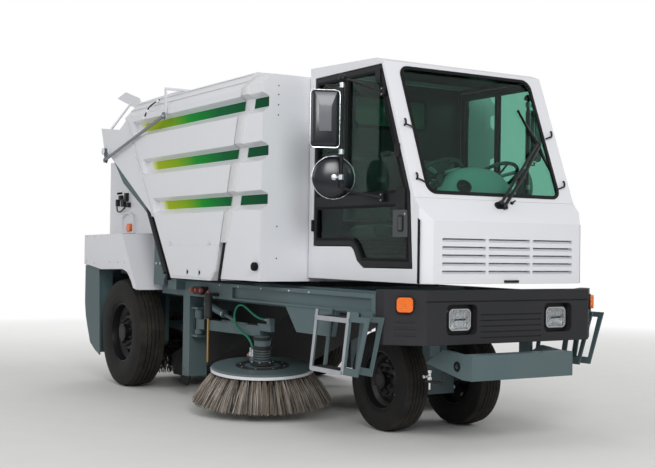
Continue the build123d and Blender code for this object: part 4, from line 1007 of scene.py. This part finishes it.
for name, side in sides.items():
    middle = side * seat["out"]
    base = Piece(f"seatBase_{name}", "chassis", "cab_plastic", darkPlastic)
    for box in seatBase["boxes"]:
        base.block(*(at(x, middle + y, z) for x, y, z in box))
    rings = []
    for level in range(seatBase["folds"]):
        size = seatBase["bellowsSize"] - 2 * seatBase["foldDepth"] * (level % 2)
        rings.append([at(seatBase["bellowsReach"] + u, middle + v,
                         seatBase["bellowsFoot"] + level * seatBase["foldStep"])
                      for u, v in roundedBox(size, size, seatBase["bellowsCorner"])])
    base.rings(rings)
    base.done(.003, replaces=("seats",) if side < 0 else ())
    for pad, fill in seat["fill"].items():
        core = Piece("seatCore", "chassis", "seat_cloth", seatCloth)
        half = seat["width"] / 2 - seat["sideShrink"]
        core.slab(stations(grown(seat[pad], -seat["shrink"])), (0, middle - half, 0), *sideAxes, (0, 2 * half, 0))
        thing = bpy.data.objects.new(f"seat_{pad}_{name}", core.mesh(f"seat_{pad}_{name}"))
        bpy.context.scene.collection.objects.link(thing)
        bpy.context.view_layer.objects.active = thing
        remesh = thing.modifiers.new("remesh", "REMESH")
        remesh.mode, remesh.voxel_size = "VOXEL", seat["voxel"]
        applied(thing)
        swell(thing)
        thing.data.shade_smooth()
        if not thing.data.materials:
            thing.data.materials.append(seatCloth.material)
        softer = thing.modifiers.new("softer", "SUBSURF")
        softer.levels = softer.render_levels = 1
        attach(thing, "chassis")
print("seats ready")


# Mirrors on the doors
mirror = {"rod": (3.570, .902), "rodLow": 1.840, "rodHigh": 2.610, "rodRadius": .0125, "turn": radians(24),
          "head": (3.525, 1.018, 2.330), "headSize": (.220, .425), "shell": ((-.033, 0), (-.025, 0), (.003, 0),
                                                                              (.020, .014), (.028, .034)),
          "channel": ((-.080, .186), (.080, .186), (.046, .096), (.044, -.090), (-.044, -.090), (-.046, .096)),
          "round": (3.500, .925, 1.905), "roundRadius": .160, "dome": .046, "steps": 56,
          "feet": ((3.893, 2.510), (3.900, 1.752)), "doorFace": .755, "foot": (.048, .062, .012),
          "footNuts":(-.020, .020),
          "turret": ((0, 0), (.030, 0), (.034, .012), (.030, .030), (.018, .042), (0, .046)),
          "clamp": ((.0126, -.018), (.021, -.018), (.021, .018), (.0126, .018)),
          "hub": ((0, 0), (.022, .002), (.022, .010), (.012, .014), (0, .014)), "bracket": .026, "strutDrop": .030}
for name, side in sides.items():
    made = Piece(f"mirror_{name}", f"door_{name}", "black_paint", mirrorShell)
    facing = Vector((cos(mirror["turn"]), side * sin(mirror["turn"]), 0))
    across = Vector((-facing.y, facing.x, 0))
    headSpot = at(*mirror["head"], side)
    width, height = mirror["headSize"]

    def onHead(outline, depth, scale=1):
        return [headSpot + facing * depth + across * u * scale + upright * v * scale for u, v in outline]

    made.rings([onHead(roundedBox(width - 2 * inset, height - 2 * inset, .030), depth)
                for depth, inset in mirror["shell"]])
    made.use(linkGreyAndHighlight)  # raised channel down the middle of the shell, painted grey as a painted highlight on the black shell
    made.rings([onHead(mirror["channel"], .027, 1.04), onHead(mirror["channel"], .0345, .93)])
    made.use(chrome)
    made.pipe(onHead(roundedBox(width - .004, height - .004, .032), .006), .0042, 8, closed=True)
    made.use(mirrorGlass)
    made.slab(roundedBox(width - .03, height - .03, .025), headSpot - facing * .0325, across, upright,
              facing * -.002)
    # round convex mirror: domed shell, bright rim, glass behind
    roundSpot = at(*mirror["round"], side)
    radius = mirror["roundRadius"]
    made.use(mirrorShell)
    made.lathe([(0, mirror["dome"])] + [(radius * sin(pi * i / 24), mirror["dome"] * cos(pi * i / 24))
                                        for i in range(1, 13)] + [(0, -.001)], roundSpot, facing, mirror["steps"])
    made.use(chrome)
    made.pipe([roundSpot + facing * .003 + across * u + upright * v
               for u, v in circle(radius - .002, mirror["steps"])], .004, 8, closed=True)
    made.use(mirrorGlass)
    made.lathe([(0, -.0015), (radius - .008, -.0015), (radius * .6, -.004), (0, -.006)], roundSpot, facing,
               mirror["steps"])
    # rods, clamps and feet
    rodReach, rodOut = mirror["rod"]
    rodLow, rodHigh, rodRound = (at(rodReach, rodOut, level, side)
                                 for level in (mirror["rodLow"], mirror["rodHigh"], mirror["round"][2]))
    upFoot, lowFoot = (at(reach, mirror["doorFace"] + .016, level, side) for reach, level in mirror["feet"])
    made.use(blackPaint)
    made.rod(rodLow - upright * .012, rodHigh + upright * .012, mirror["rodRadius"], steps=20)
    made.pipe(curved([rodHigh, rodHigh.lerp(upFoot, .2) + upright * .022, rodHigh.lerp(upFoot, .6) + upright * .012,
                      upFoot], 5), .0095, 12)
    made.pipe(curved([rodLow, rodLow + Vector((.060, -side * .030, -.030)),
                      rodLow.lerp(lowFoot, .6) - upright * .010, lowFoot], 5), .0095, 12)
    for foot in (upFoot, lowFoot):
        made.slab(roundedBox(*mirror["foot"]), (foot.x, side * (mirror["doorFace"] + .001), foot.z), *sideAxes,
                  (0, side * .018, 0))
        made.use(brightSteel)
        for drop in mirror["footNuts"]:
            made.nut((foot.x, side * (mirror["doorFace"] + .019), foot.z + drop), (0, side, 0), .006, .005)
        made.use(blackPaint)
    # turret of the upper bracket, and the struts to the head
    made.lathe(mirror["turret"], rodHigh + upright * .006, upright, 24)
    headTop, headFoot = headSpot + upright * height / 2, headSpot - upright * height / 2
    rodFoot = Vector((rodLow.x, rodLow.y, headFoot.z - mirror["bracket"]))
    made.pipe([headTop - upright * .006, headTop + upright * mirror["strutDrop"],
               rodHigh - upright * mirror["strutDrop"]], .007, 10)
    made.pipe([headFoot + upright * .006, headFoot - upright * mirror["bracket"], rodFoot], .007, 10)
    made.use(brightSteel)
    for spot in (rodFoot, rodHigh - upright * mirror["strutDrop"], rodRound):
        made.lathe(mirror["clamp"], spot, upright, 18)
    hub = roundSpot + facing * .040
    made.lathe(mirror["hub"], hub, facing, 20)
    made.pipe([hub + facing * .006, rodRound], .008, 10)
    made.done(.0008, replaces=(f"mirror_{name}",))
print("mirrors ready")


# Front end: lamps, bumper trim, push bar fittings and step edges
headlamp = {"out": .445, "height": .905, "bootReach": 4.366, "boot": ((.262, .202, .038), (.186, .146, .030)),
            "bezelReach": 4.372, "bezel": ((.190, .150, .034), (.172, .132, .028)), "depths": (.010, .030),
            "dish": ((.002, 4.366), (.030, 4.367), (.055, 4.372), (.075, 4.382), (.084, 4.394)), "aspect": 1.54,
            "bulb": (4.368, 4.388), "bulbRadii": (.012, .009), "lensSize": (.172, .132),
            "lens": ((4.392, 0), (4.399, .0), (4.403, .012), (4.4049, .045))}
headlampPiece = Piece("headlampPieces", "chassis", "clear_lamp", chrome)
for side in sides.values():
    y, z = side * headlamp["out"], headlamp["height"]
    bootDepth, bezelDepth = headlamp["depths"]
    headlampPiece.use(blackPaint)  # boot round the lamp in its recess
    headlampPiece.band(*(roundedBox(*box) for box in headlamp["boot"]), at(headlamp["bootReach"], y, z), *frontAxes,
                       (bootDepth, 0, 0))
    headlampPiece.use(chrome)
    headlampPiece.band(*(roundedBox(*box) for box in headlamp["bezel"]), at(headlamp["bezelReach"], y, z), *frontAxes,
                       (bezelDepth, 0, 0))
    headlampPiece.rings([[at(reach, y + u, z + v)
                          for u, v in roundedBox(2 * radius, headlamp["aspect"] * radius, min(radius * .5, .03))]
                         for radius, reach in headlamp["dish"]], caps=False)
    headlampPiece.rod(*(at(reach, y, z) for reach in headlamp["bulb"]), *headlamp["bulbRadii"])
    headlampPiece.use(clearLens)
    width, tall = headlamp["lensSize"]
    headlampPiece.rings([[at(reach, y + u, z + v) for u, v in roundedBox(width - 2 * inset, tall - 2 * inset, .026)]
                         for reach, inset in headlamp["lens"]])
headlampPiece.done(replaces=("headlamps",))

marker = {"place": (4.325, .8535, 1.010), "outward": (217, 200, 0), "ribs": (.895, .850, .805),
          "rib": (.150, .011, .004), "ribDepth": .0075, "rim": ((.126, .116, .03), (.111, .101, .026)),
          "rimDepth": .014, "nutAcross": .056, "nut": (.005, .004)}
markerBase = Piece("markerBases", "chassis", "black_paint", blackPaint)
for side in sides.values():
    spot = at(*marker["place"], side)
    outward = Vector((marker["outward"][0], side * marker["outward"][1], 0)).normalized()
    alongFace = upright.cross(outward)
    markerBase.use(charcoalPlastic)
    for level in marker["ribs"]:  # ribs on the bumper's angled end, under the lamp
        markerBase.slab(roundedBox(*marker["rib"]), Vector((spot.x, spot.y, level)) - outward * .003, alongFace,
                        upright, outward * marker["ribDepth"])
    markerBase.use(blackPaint)
    markerBase.band(*(roundedBox(*box) for box in marker["rim"]), spot + outward * .0005, alongFace, upright,
                    outward * marker["rimDepth"])
    for way in (-1, 1):
        markerBase.nut(spot + alongFace * way * marker["nutAcross"] + outward * .012, outward, *marker["nut"])
markerBase.done(.002)

pushBar = {"washer": (4.400, .4632, .583), "washerRadii": (.036, .0165), "washerThick": .003,
           "plate": ((4.045, -.470, .438), (4.250, -.440, .456)),
           "peg": ((4.235, -.452, .452), (4.235, -.452, .540)), "pegRadius": .008,
           "cock": ((0, 0), (.016, 0), (.016, .022), (.010, .026), (.010, .048), (.014, .052), (.014, .070),
                    (0, .072)),
           "cockPlace": (4.075, -.452, .456), "outletPlace": (4.075, -.452, .481),
           "outlet": ((0, 0), (.010, 0), (.010, .030), (.013, .034), (.013, .052), (0, .054)),
           "drain": ((4.075, -.452, .438), (4.075, -.452, .388)), "drainRadius": .007}
barFittings = Piece("barFittings", "chassis", "chassis_paint", gasketRubber)
for side in sides.values():
    barFittings.band(*(circle(radius, 24) for radius in pushBar["washerRadii"]), at(*pushBar["washer"], side),
                     *sideAxes, (0, side * pushBar["washerThick"], 0))
barFittings.use(darkSteel)  # drain cock and its plate under the right arm
barFittings.block(*(at(*corner) for corner in pushBar["plate"]))
barFittings.rod(*(at(*end) for end in pushBar["peg"]), pushBar["pegRadius"])
barFittings.use(chrome)
barFittings.lathe(pushBar["cock"], at(*pushBar["cockPlace"]), upright, 18)
barFittings.lathe(pushBar["outlet"], at(*pushBar["outletPlace"]), (0, -1, 0), 16)
barFittings.rod(*(at(*end) for end in pushBar["drain"]), pushBar["drainRadius"])
barFittings.done(.001)

stepEdge = {"out": 1.0952, "thick": .0035, "hangers": (((3.564, .948), (3.598, .948), (3.518, .510), (3.484, .510)),
                                                       ((3.982, .948), (4.016, .948), (3.936, .510), (3.902, .510))),
            "treads": ((3.560, .450, .890), (3.500, .420, .520)),  # rear end, length, height
            "lip": ((1.098, -.020), (1.104, .014)), "bars": 5, "barOut": .985, "barStep": .024, "barHalf": .004,
            "barInset": (.02, .03), "barTop": (.012, .0155)}
stepEdges = Piece("stepEdges", "chassis", "step_metal", brightSteel)
for side in sides.values():
    for hanger in stepEdge["hangers"]:
        stepEdges.slab(stations(hanger), (0, side * stepEdge["out"], 0), *sideAxes, (0, side * stepEdge["thick"], 0))
    (inY, lipFoot), (outY, lipTop) = stepEdge["lip"]
    for start, run, z in stepEdge["treads"]:
        stepEdges.block(at(start, inY, z + lipFoot, side), at(start + run - .004, outY, z + lipTop, side))
        stepEdges.use(darkSteel)  # raised grip bars on the tread
        for bar in range(stepEdge["bars"]):
            y = side * (stepEdge["barOut"] + bar * stepEdge["barStep"])
            rearInset, frontInset = stepEdge["barInset"]
            low, high = stepEdge["barTop"]
            stepEdges.block(at(start + rearInset, y - stepEdge["barHalf"], z + low),
                            at(start + run - frontInset, y + stepEdge["barHalf"], z + high))
        stepEdges.use(brightSteel)
stepEdges.done(.0012)
print("front ready")


# Wheels: tyres with zigzag grooves, nuts and hub trim
tyre = {"grooves": (-.42, -.14, .14, .42), "grooveHalf": .034, "grooveDepth": .014, "zigzag": .0028, "steps": 180,
        "crownDrop": .04, "treadWidth": .88, "treadDepth": .85,
        # shares of the half width and of the sidewall's height, from the bead up
        "wall": ((.80, 0), (.86, .02), (.935, .10), (.955, .105), (.965, .17), (.985, .26), (.995, .27), (1.0, .38),
                 (.998, .50), (.985, .60), (.975, .605), (.955, .72), (.925, .80), (.90, .86), (.885, .90),
                  (.868, .935))}
hubTrim = {"rimShare": .80, "nut": (.015, .022), "stud": (.034, .008), "hubShare": .66, "capBolts": 6,
           "capBolt": (.007, .004)}
wheelTable = (
    # name, ahead, out, tyre radius, rim radius, tyre width, wheel nuts, nut circle
    ("rear", 0, 1.055, .527, .290, .280, 10, .128),
    ("front", 3.430, .350, .385, .226, .215, 8, .098),
)
for axle, reach, out, tyreRadius, rimRadius, width, nuts, nutCircle in wheelTable:
    for name, side in sides.items():
        body = f"{axle}_wheel_{name}"
        half, crown = width / 2, tyreRadius - rimRadius
        home = Matrix.Translation(at(reach, out, tyreRadius, side))
        wheel = Piece(f"{axle}Tyre_{name}", body, "tyre", sidewallRubber, home)
        wall = [(half * a, rimRadius + crown * b) for a, b in tyre["wall"]]
        outline = [(-y, r, 0) for y, r in wall]  # the third value says how far the point weaves
        for groove in tyre["grooves"]:
            for edge, deep in ((-1, 0), (-.8, 1), (.8, 1), (1, 0)):
                y = (groove + edge * tyre["grooveHalf"]) * half
                outline.append((y, tyreRadius - crown * tyre["crownDrop"] * (y / half / .8) ** 2
                                - deep * tyre["grooveDepth"], 1))
        outline += [(y, r, 0) for y, r in reversed(wall)]
        rings = []
        for step, angle in enumerate(around(tyre["steps"])):
            weave = tyre["zigzag"] * (1 if step // 2 % 2 else -1)
            rings.append([(r * cos(angle), y + weave * shift, r * sin(angle)) for y, r, shift in outline])
        wheel.rings(rings, closed=True)
        wheel.use(treadRubber)
        wheel.shape.faces.ensure_lookup_table()
        for face in wheel.shape.faces:
            middle = face.calc_center_median()
            if (abs(middle.y) < half * tyre["treadWidth"]
                    and hypot(middle.x, middle.z) > rimRadius + crown * tyre["treadDepth"]):
                face.material_index = wheel.index
        wheel.done(replaces=(f"{axle}_{name}_tyre",), sharp=28)

        trims = Piece(f"{axle}Hub_{name}", body, "black_paint", blackPaint, home)
        rimHalf, hub, outward = side * half * hubTrim["rimShare"], nutCircle * hubTrim["hubShare"], (0, side, 0)
        studLength, studRadius = hubTrim["stud"]
        trims.use(darkSteel)
        for angle in around(nuts, .5):
            spot = Vector((nutCircle * cos(angle), rimHalf * .475, nutCircle * sin(angle)))
            trims.nut(spot, outward, *hubTrim["nut"])
            trims.rod(spot, spot + Vector((0, side * studLength, 0)), studRadius, steps=10)
        trims.use(blackPaint)
        trims.lathe([(hub, 0), (hub + .006, 0), (hub + .006, .012), (hub, .012)], (0, rimHalf * .50, 0), outward, 40)
        trims.use(darkSteel)
        trims.lathe([(0, 0), (hub * .72, 0), (hub * .70, .003), (hub * .30, .004), (0, .004)], (0, rimHalf, 0),
                    outward, 40)
        for angle in around(hubTrim["capBolts"]):
            trims.nut((hub * .84 * cos(angle), rimHalf, hub * .84 * sin(angle)), outward, *hubTrim["capBolt"])
        trims.use(brightSteel)  # valve stem
        trims.rod((rimRadius * .86, rimHalf * .3, 0), (rimRadius * .78, rimHalf * .75, 0), .004, steps=8)
        trims.done()
print("wheels ready")


# Gutter brooms: plate, rim band and sprung wire tufts in the broom's own tilted frame
gutterBroom = {"centre": (2.230, .800, .105), "lean": (.07408, .04619, .99619),
               "plate": ((.02, .252), (.418, .252), (.424, .258), (.424, .290), (.418, .297), (.40, .299),
                         (.02, .299)),
               "rim": ((.4215, .256), (.4295, .256), (.4295, .280), (.4215, .280), (.4215, .256)),
               "flange": ((.150, .298), (.226, .298), (.224, .3025), (.152, .3025), (.150, .298)),
               "bolts": 8, "boltCircle": .19, "boltHeight": .3015, "bolt": (.009, .0035),
               # tufts, wires in each, root radius, tip radius
               "rows": ((56, 40, .402, .562), (40, 22, .335, .470)), "wire": .0021, "rootHeight": .256, "seed": 7,
               "tones": (bristleStraw, bristleTan, bristleBrown, bristleDark), "shares": (.20, .36, .28, .16)}


def gutterLean(side):
    x, y, z = gutterBroom["lean"]
    return Vector((x, side * y, z)).normalized()


for name, side in sides.items():
    lean = gutterLean(side)
    sideways = Vector((1, 0, -lean.x / lean.z)).normalized()
    home = (Matrix.Translation(at(*gutterBroom["centre"], side))
            @ Matrix((sideways, lean.cross(sideways), lean)).transposed().to_4x4())
    plate = Piece(f"gutterPlate_{name}", f"gutter_broom_{name}", "chassis_paint", greyGreenPaint, home)
    for part, finish, steps in (("plate", greyGreenPaint, 96), ("rim", whitePaint, 96), ("flange", darkSteel, 72)):
        plate.use(finish)
        plate.lathe(gutterBroom[part], (0, 0, 0), upright, steps)
    plate.use(brightSteel)
    for u, v in circle(gutterBroom["boltCircle"], gutterBroom["bolts"]):
        plate.nut((u, v, gutterBroom["boltHeight"]), upright, *gutterBroom["bolt"])
    plate.done(.0012)

    tufts = Piece(f"gutterTufts_{name}", f"gutter_broom_{name}", "bristle", bristleStraw, home)
    chance = Random(gutterBroom["seed"] + side)
    for count, wires, rootRadius, tipRadius in gutterBroom["rows"]:
        for tuft in range(count):
            middle = 2 * pi * (tuft + chance.uniform(-.12, .12)) / count
            twist = chance.uniform(-.018, .018)
            for wire in range(wires):
                start = middle + chance.uniform(-.5, .5) * 2 * pi / count * .62
                end = middle + twist + (start - middle) * 1.75 + chance.uniform(-.012, .012)
                rootR = rootRadius + chance.uniform(-.022, .010)
                tipR = tipRadius + chance.uniform(-.050, .020)
                tipZ = chance.uniform(.001, .022)
                tufts.use(chance.choices(gutterBroom["tones"], gutterBroom["shares"])[0])
                line = []
                for share, bow in ((0, 0), (.5, .012), (1, 0)):
                    angle = start + (end - start) * share
                    r = rootR + (tipR - rootR) * share + bow
                    z = gutterBroom["rootHeight"] + (tipZ - gutterBroom["rootHeight"]) * share
                    line.append(Vector((r * cos(angle), r * sin(angle), z)))
                tufts.pipe(line, gutterBroom["wire"], 3)
    tufts.done(replaces=(f"gutter_broom_{name}",), sharp=180)
print("gutter brooms ready")

# Main broom: twelve rows of wires on a core
mainBroom = {"centre": (-.500, 0, .370), "half": .755, "core": .128, "coreHalf": .752, "bore": .0305, "tip": .330,
             "rows": 12, "along": 130, "deep": 3, "wire": .0024, "seed": 21, "tones": (bristleDark, bristleBrown),
             "shares": (.7, .3)}
broom = Piece("mainBroomWires", "main_broom", "bristle", darkSteel, Matrix.Translation(at(*mainBroom["centre"])))
chance = Random(mainBroom["seed"])
core, bore, end = mainBroom["core"], mainBroom["bore"], mainBroom["coreHalf"]
broom.lathe([(bore, -end), (core, -end), (core, end), (bore, end), (bore, -end)], (0, 0, 0), (0, 1, 0), 48)
for row in range(mainBroom["rows"]):
    for wire in range(mainBroom["along"] * mainBroom["deep"]):
        place = wire // mainBroom["deep"]
        y = mainBroom["half"] * (-.985 + 1.97 * (place + chance.random()) / mainBroom["along"])
        root = 2 * pi * row / mainBroom["rows"] + chance.uniform(-.19, .19)
        tip = root + chance.uniform(-.03, .03)
        reach = mainBroom["tip"] - chance.uniform(.002, .02)
        broom.use(chance.choices(mainBroom["tones"], mainBroom["shares"])[0])
        broom.pipe([(core * .97 * cos(root), y, core * .97 * sin(root)),
                    (reach * cos(tip), y + chance.uniform(-.008, .008), reach * sin(tip))], mainBroom["wire"], 3)
broom.done(replaces=("main_broom",), sharp=180)
print("main broom ready")


# Post, beam and arm details round the gutter brooms
beam = {"face": .970, "valve": ((1.36, -.010, .960), (1.52, .070, 1.030)),  # station, proud of the face, height
        "knobs": (1.345, 1.44, 1.535), "knobProud": .062, "knobHeight": .998,
        "knob": ((0, 0), (.020, 0), (.022, .012), (.016, .030), (0, .032)),
        "spout": ((0, 0), (.016, 0), (.016, .030), (0, .034)), "spoutPlace": (1.315, .040, 1.0),
        "nuts": (.66, .95, 1.75, 2.10, 2.50, 2.95, 3.25), "nutHeight": 1.052, "nut": (.010, .006),
        "curtain": ((.950, .310), (1.000, .315), (1.170, .190), (1.120, .110), (.985, .120)),
        "curtainOut": .960, "curtainThick": .010}
damper = {"place": (1.700, 1.052, .765), "bracket": ((1.660, .966, .955), (1.740, 1.070, .985)),
          "body": ((0, 0), (.032, 0), (.036, .010), (.036, .030), (.033, .034), (.033, .150), (.037, .154),
                   (.037, .206), (.028, .214), (0, .216)), "rod": .390, "rodRadius": .0085, "eyeDrop": .410,
          "eye": ((0, 0), (.014, .004), (.014, .028), (.010, .034), (0, .034)), "capLift": .214,
          "cap": ((0, 0), (.016, 0), (.018, .012), (.012, .026), (0, .028))}
motor = {"above": .306, "bore": .02, "bolts": 6, "boltCircle": .088, "boltTurn": .3, "bolt": (.008, .008),
         # from, to and radius of each flange and rib
         "flanges": ((0, .018, .098), (.018, .030, .080), (.045, .053, .076), (.066, .074, .076), (.087, .095, .076),
                     (.108, .116, .076), (.130, .160, .082), (.210, .236, .078))}
arm = {"rib": ((1.60, .860, .728), (2.05, .860, .742)), "ribHalf": .014, "collars": (1.22, 1.42), "collarHalf": .008,
       "collarOut": .90, "collarWide": .055, "collarFoot": .632, "collarTop": .738,
       "liftTop": (1.330, .889, .872), "liftFoot": (1.780, .850, .755), "glands": (.300, .02),
       "gland": ((.033, 0), (.036, 0), (.036, .014), (.033, .014))}
for name, side in sides.items():
    beamFittings = Piece(f"beamFittings_{name}", "chassis", "chassis_paint", darkSteel)
    face, outward = side * beam["face"], (0, side, 0)
    beamFittings.block(*(at(x, face + side * proud, z) for x, proud, z in beam["valve"]))  # on the post's head
    beamFittings.use(redPaint)
    for reach in beam["knobs"]:
        beamFittings.lathe(beam["knob"], at(reach, face + side * beam["knobProud"], beam["knobHeight"]), outward, 16)
    beamFittings.use(brightSteel)
    x, proud, z = beam["spoutPlace"]
    beamFittings.lathe(beam["spout"], at(x, face + side * proud, z), (-1, 0, 0), 12)
    for reach in beam["nuts"]:
        beamFittings.nut(at(reach, face - side * .001, beam["nutHeight"]), outward, *beam["nut"])
    beamFittings.use(gasketRubber)  # curtain hung behind the post
    beamFittings.slab(stations(beam["curtain"]), (0, side * beam["curtainOut"], 0), *sideAxes,
                      (0, side * beam["curtainThick"], 0))
    beamFittings.use(darkSteel)  # hanging damper in front of the post, with its bracket and rod
    damperFoot = at(*damper["place"], side)
    beamFittings.lathe(damper["body"], damperFoot, upright, 24)
    beamFittings.block(*(at(*corner, side) for corner in damper["bracket"]))
    beamFittings.lathe(damper["eye"], damperFoot - upright * damper["eyeDrop"], upright, 16)
    beamFittings.use(brass)
    beamFittings.rod(damperFoot, damperFoot - upright * damper["rod"], damper["rodRadius"])
    beamFittings.use(redPaint)
    beamFittings.lathe(damper["cap"], damperFoot + upright * damper["capLift"], upright, 16)
    beamFittings.done(.0015)

    armFittings = Piece(f"armFittings_{name}", f"gutter_arm_{name}", "chassis_paint", darkSteel)
    lean = gutterLean(side)
    motorFoot = at(*gutterBroom["centre"], side) + lean * motor["above"]
    for low, high, radius in motor["flanges"]:
        armFittings.lathe([(motor["bore"], low), (radius, low), (radius, high), (motor["bore"], high)], motorFoot,
                          lean, 40)
    for reach in arm["collars"]:
        out, wide = side * arm["collarOut"], arm["collarWide"]
        armFittings.block(at(reach - arm["collarHalf"], out - wide, arm["collarFoot"]),
                          at(reach + arm["collarHalf"], out + wide, arm["collarTop"]))
    armFittings.use(greyGreenPaint)
    (rear, out, low), (front, out, high) = arm["rib"]
    armFittings.block(at(rear, side * out - arm["ribHalf"], low), at(front, side * out + arm["ribHalf"], high))
    armFittings.use(brightSteel)  # cap bolts of the motor, then eye and gland of the lift cylinder
    for angle in around(motor["bolts"]):
        angle += motor["boltTurn"]
        armFittings.nut(motorFoot + Vector((motor["boltCircle"] * cos(angle), motor["boltCircle"] * sin(angle), 0))
                        + lean * .017, lean, *motor["bolt"])
    liftTop, liftFoot = at(*arm["liftTop"], side), at(*arm["liftFoot"], side)
    run = (liftFoot - liftTop).normalized()
    for reach in arm["glands"]:
        armFittings.lathe(arm["gland"], liftTop + run * reach, run, 24)
    armFittings.done(.001)
print("broom fittings ready")


# Floor, lamps and world
studio = {"floorHalf": 60, "fadeArea": 130, "fadeStart": .12, "fill": .38, "mirrored": .55}
floorFinish = Finish("floorFinish", (226, 226, 224), .85)
floorFinish.give("Base Color", floorFinish.blend(floorFinish.grain(3, 4), rgb(224, 224, 222), rgb(230, 230, 228)))
floorX, floorY = floorFinish.axes()[:2]
farAway = ((floorX * floorX + floorY * floorY) / studio["fadeArea"] - studio["fadeStart"]).held()
seenByCamera = floorFinish.node("ShaderNodeLightPath", {}, {}, "Is Camera Ray")
pale = floorFinish.node("ShaderNodeEmission", {}, {"Color": (1, 1, 1), "Strength": 1})
shaded = Wire(floorFinish, floorFinish.shader.outputs[0])
faded = floorFinish.node("ShaderNodeMixShader", {}, {0: farAway * seenByCamera, 1: shaded, 2: pale})
floorFinish.feed(floorFinish.tree.nodes["Material Output"].inputs["Surface"], faded)  # into the white background
floorMesh = bpy.data.meshes.new("studioFloor")
floorMesh.from_pydata([(u * studio["floorHalf"], v * studio["floorHalf"], 0)
                       for u, v in ((-1, -1), (1, -1), (1, 1), (-1, 1))], [], [(0, 1, 2, 3)])
floorMesh.materials.append(floorFinish.material)
studioFloor = bpy.data.objects.new("studioFloor", floorMesh)
bpy.context.scene.collection.objects.link(studioFloor)

studioLamps = (
    # name, place, aim, width, power
    ("sideLamp", (1.0, -9.5, 5.0), (0, 0, 1.3), 5.0, 205),
    ("frontLamp", (9.5, -4.0, 5.5), (1.5, 0, 1.3), 3.5, 440),
    ("leftLamp", (3.0, 9.5, 5.0), (0, 0, 1.3), 5.0, 240),
    ("rearLamp", (-9.0, 3.0, 5.5), (0, 0, 1.4), 6.0, 300),
    ("topLamp", (0, 0, 9.0), (0, 0, 0), 7.0, 45),
)
for name, place, aim, width, power in studioLamps:
    lampData = bpy.data.lights.new(name, "AREA")
    lampData.shape = "SQUARE"
    lampData.size, lampData.energy = width, power
    lamp = bpy.data.objects.new(name, lampData)
    bpy.context.scene.collection.objects.link(lamp)
    lamp.location = place
    lamp.visible_glossy = name != "rearLamp"  # mirrored in the shoulder it would burn out
    lamp.rotation_euler = (Vector(aim) - Vector(place)).to_track_quat("-Z", "Y").to_euler()

world = bpy.data.worlds.new("studioWorld")
bpy.context.scene.world = world
world.use_nodes = True
sky = Nodes(world.node_tree)
cameraRay, throughRay, glossyRay = (sky.node("ShaderNodeLightPath", {}, {}, f"Is {ray} Ray")
                                    for ray in ("Camera", "Transmission", "Glossy"))
seen = cameraRay.most(throughRay.most(glossyRay * studio["mirrored"]))  # reflections see a softer white
background = sky.tree.nodes["Background"]
sky.feed(background.inputs["Color"], (1, 1, 1))
sky.feed(background.inputs["Strength"],
         sky.node("ShaderNodeMapRange", {}, {"Value": seen, "To Min": studio["fill"], "To Max": 1}))
bpy.context.scene.view_settings.view_transform = "Standard"
print("studio ready")
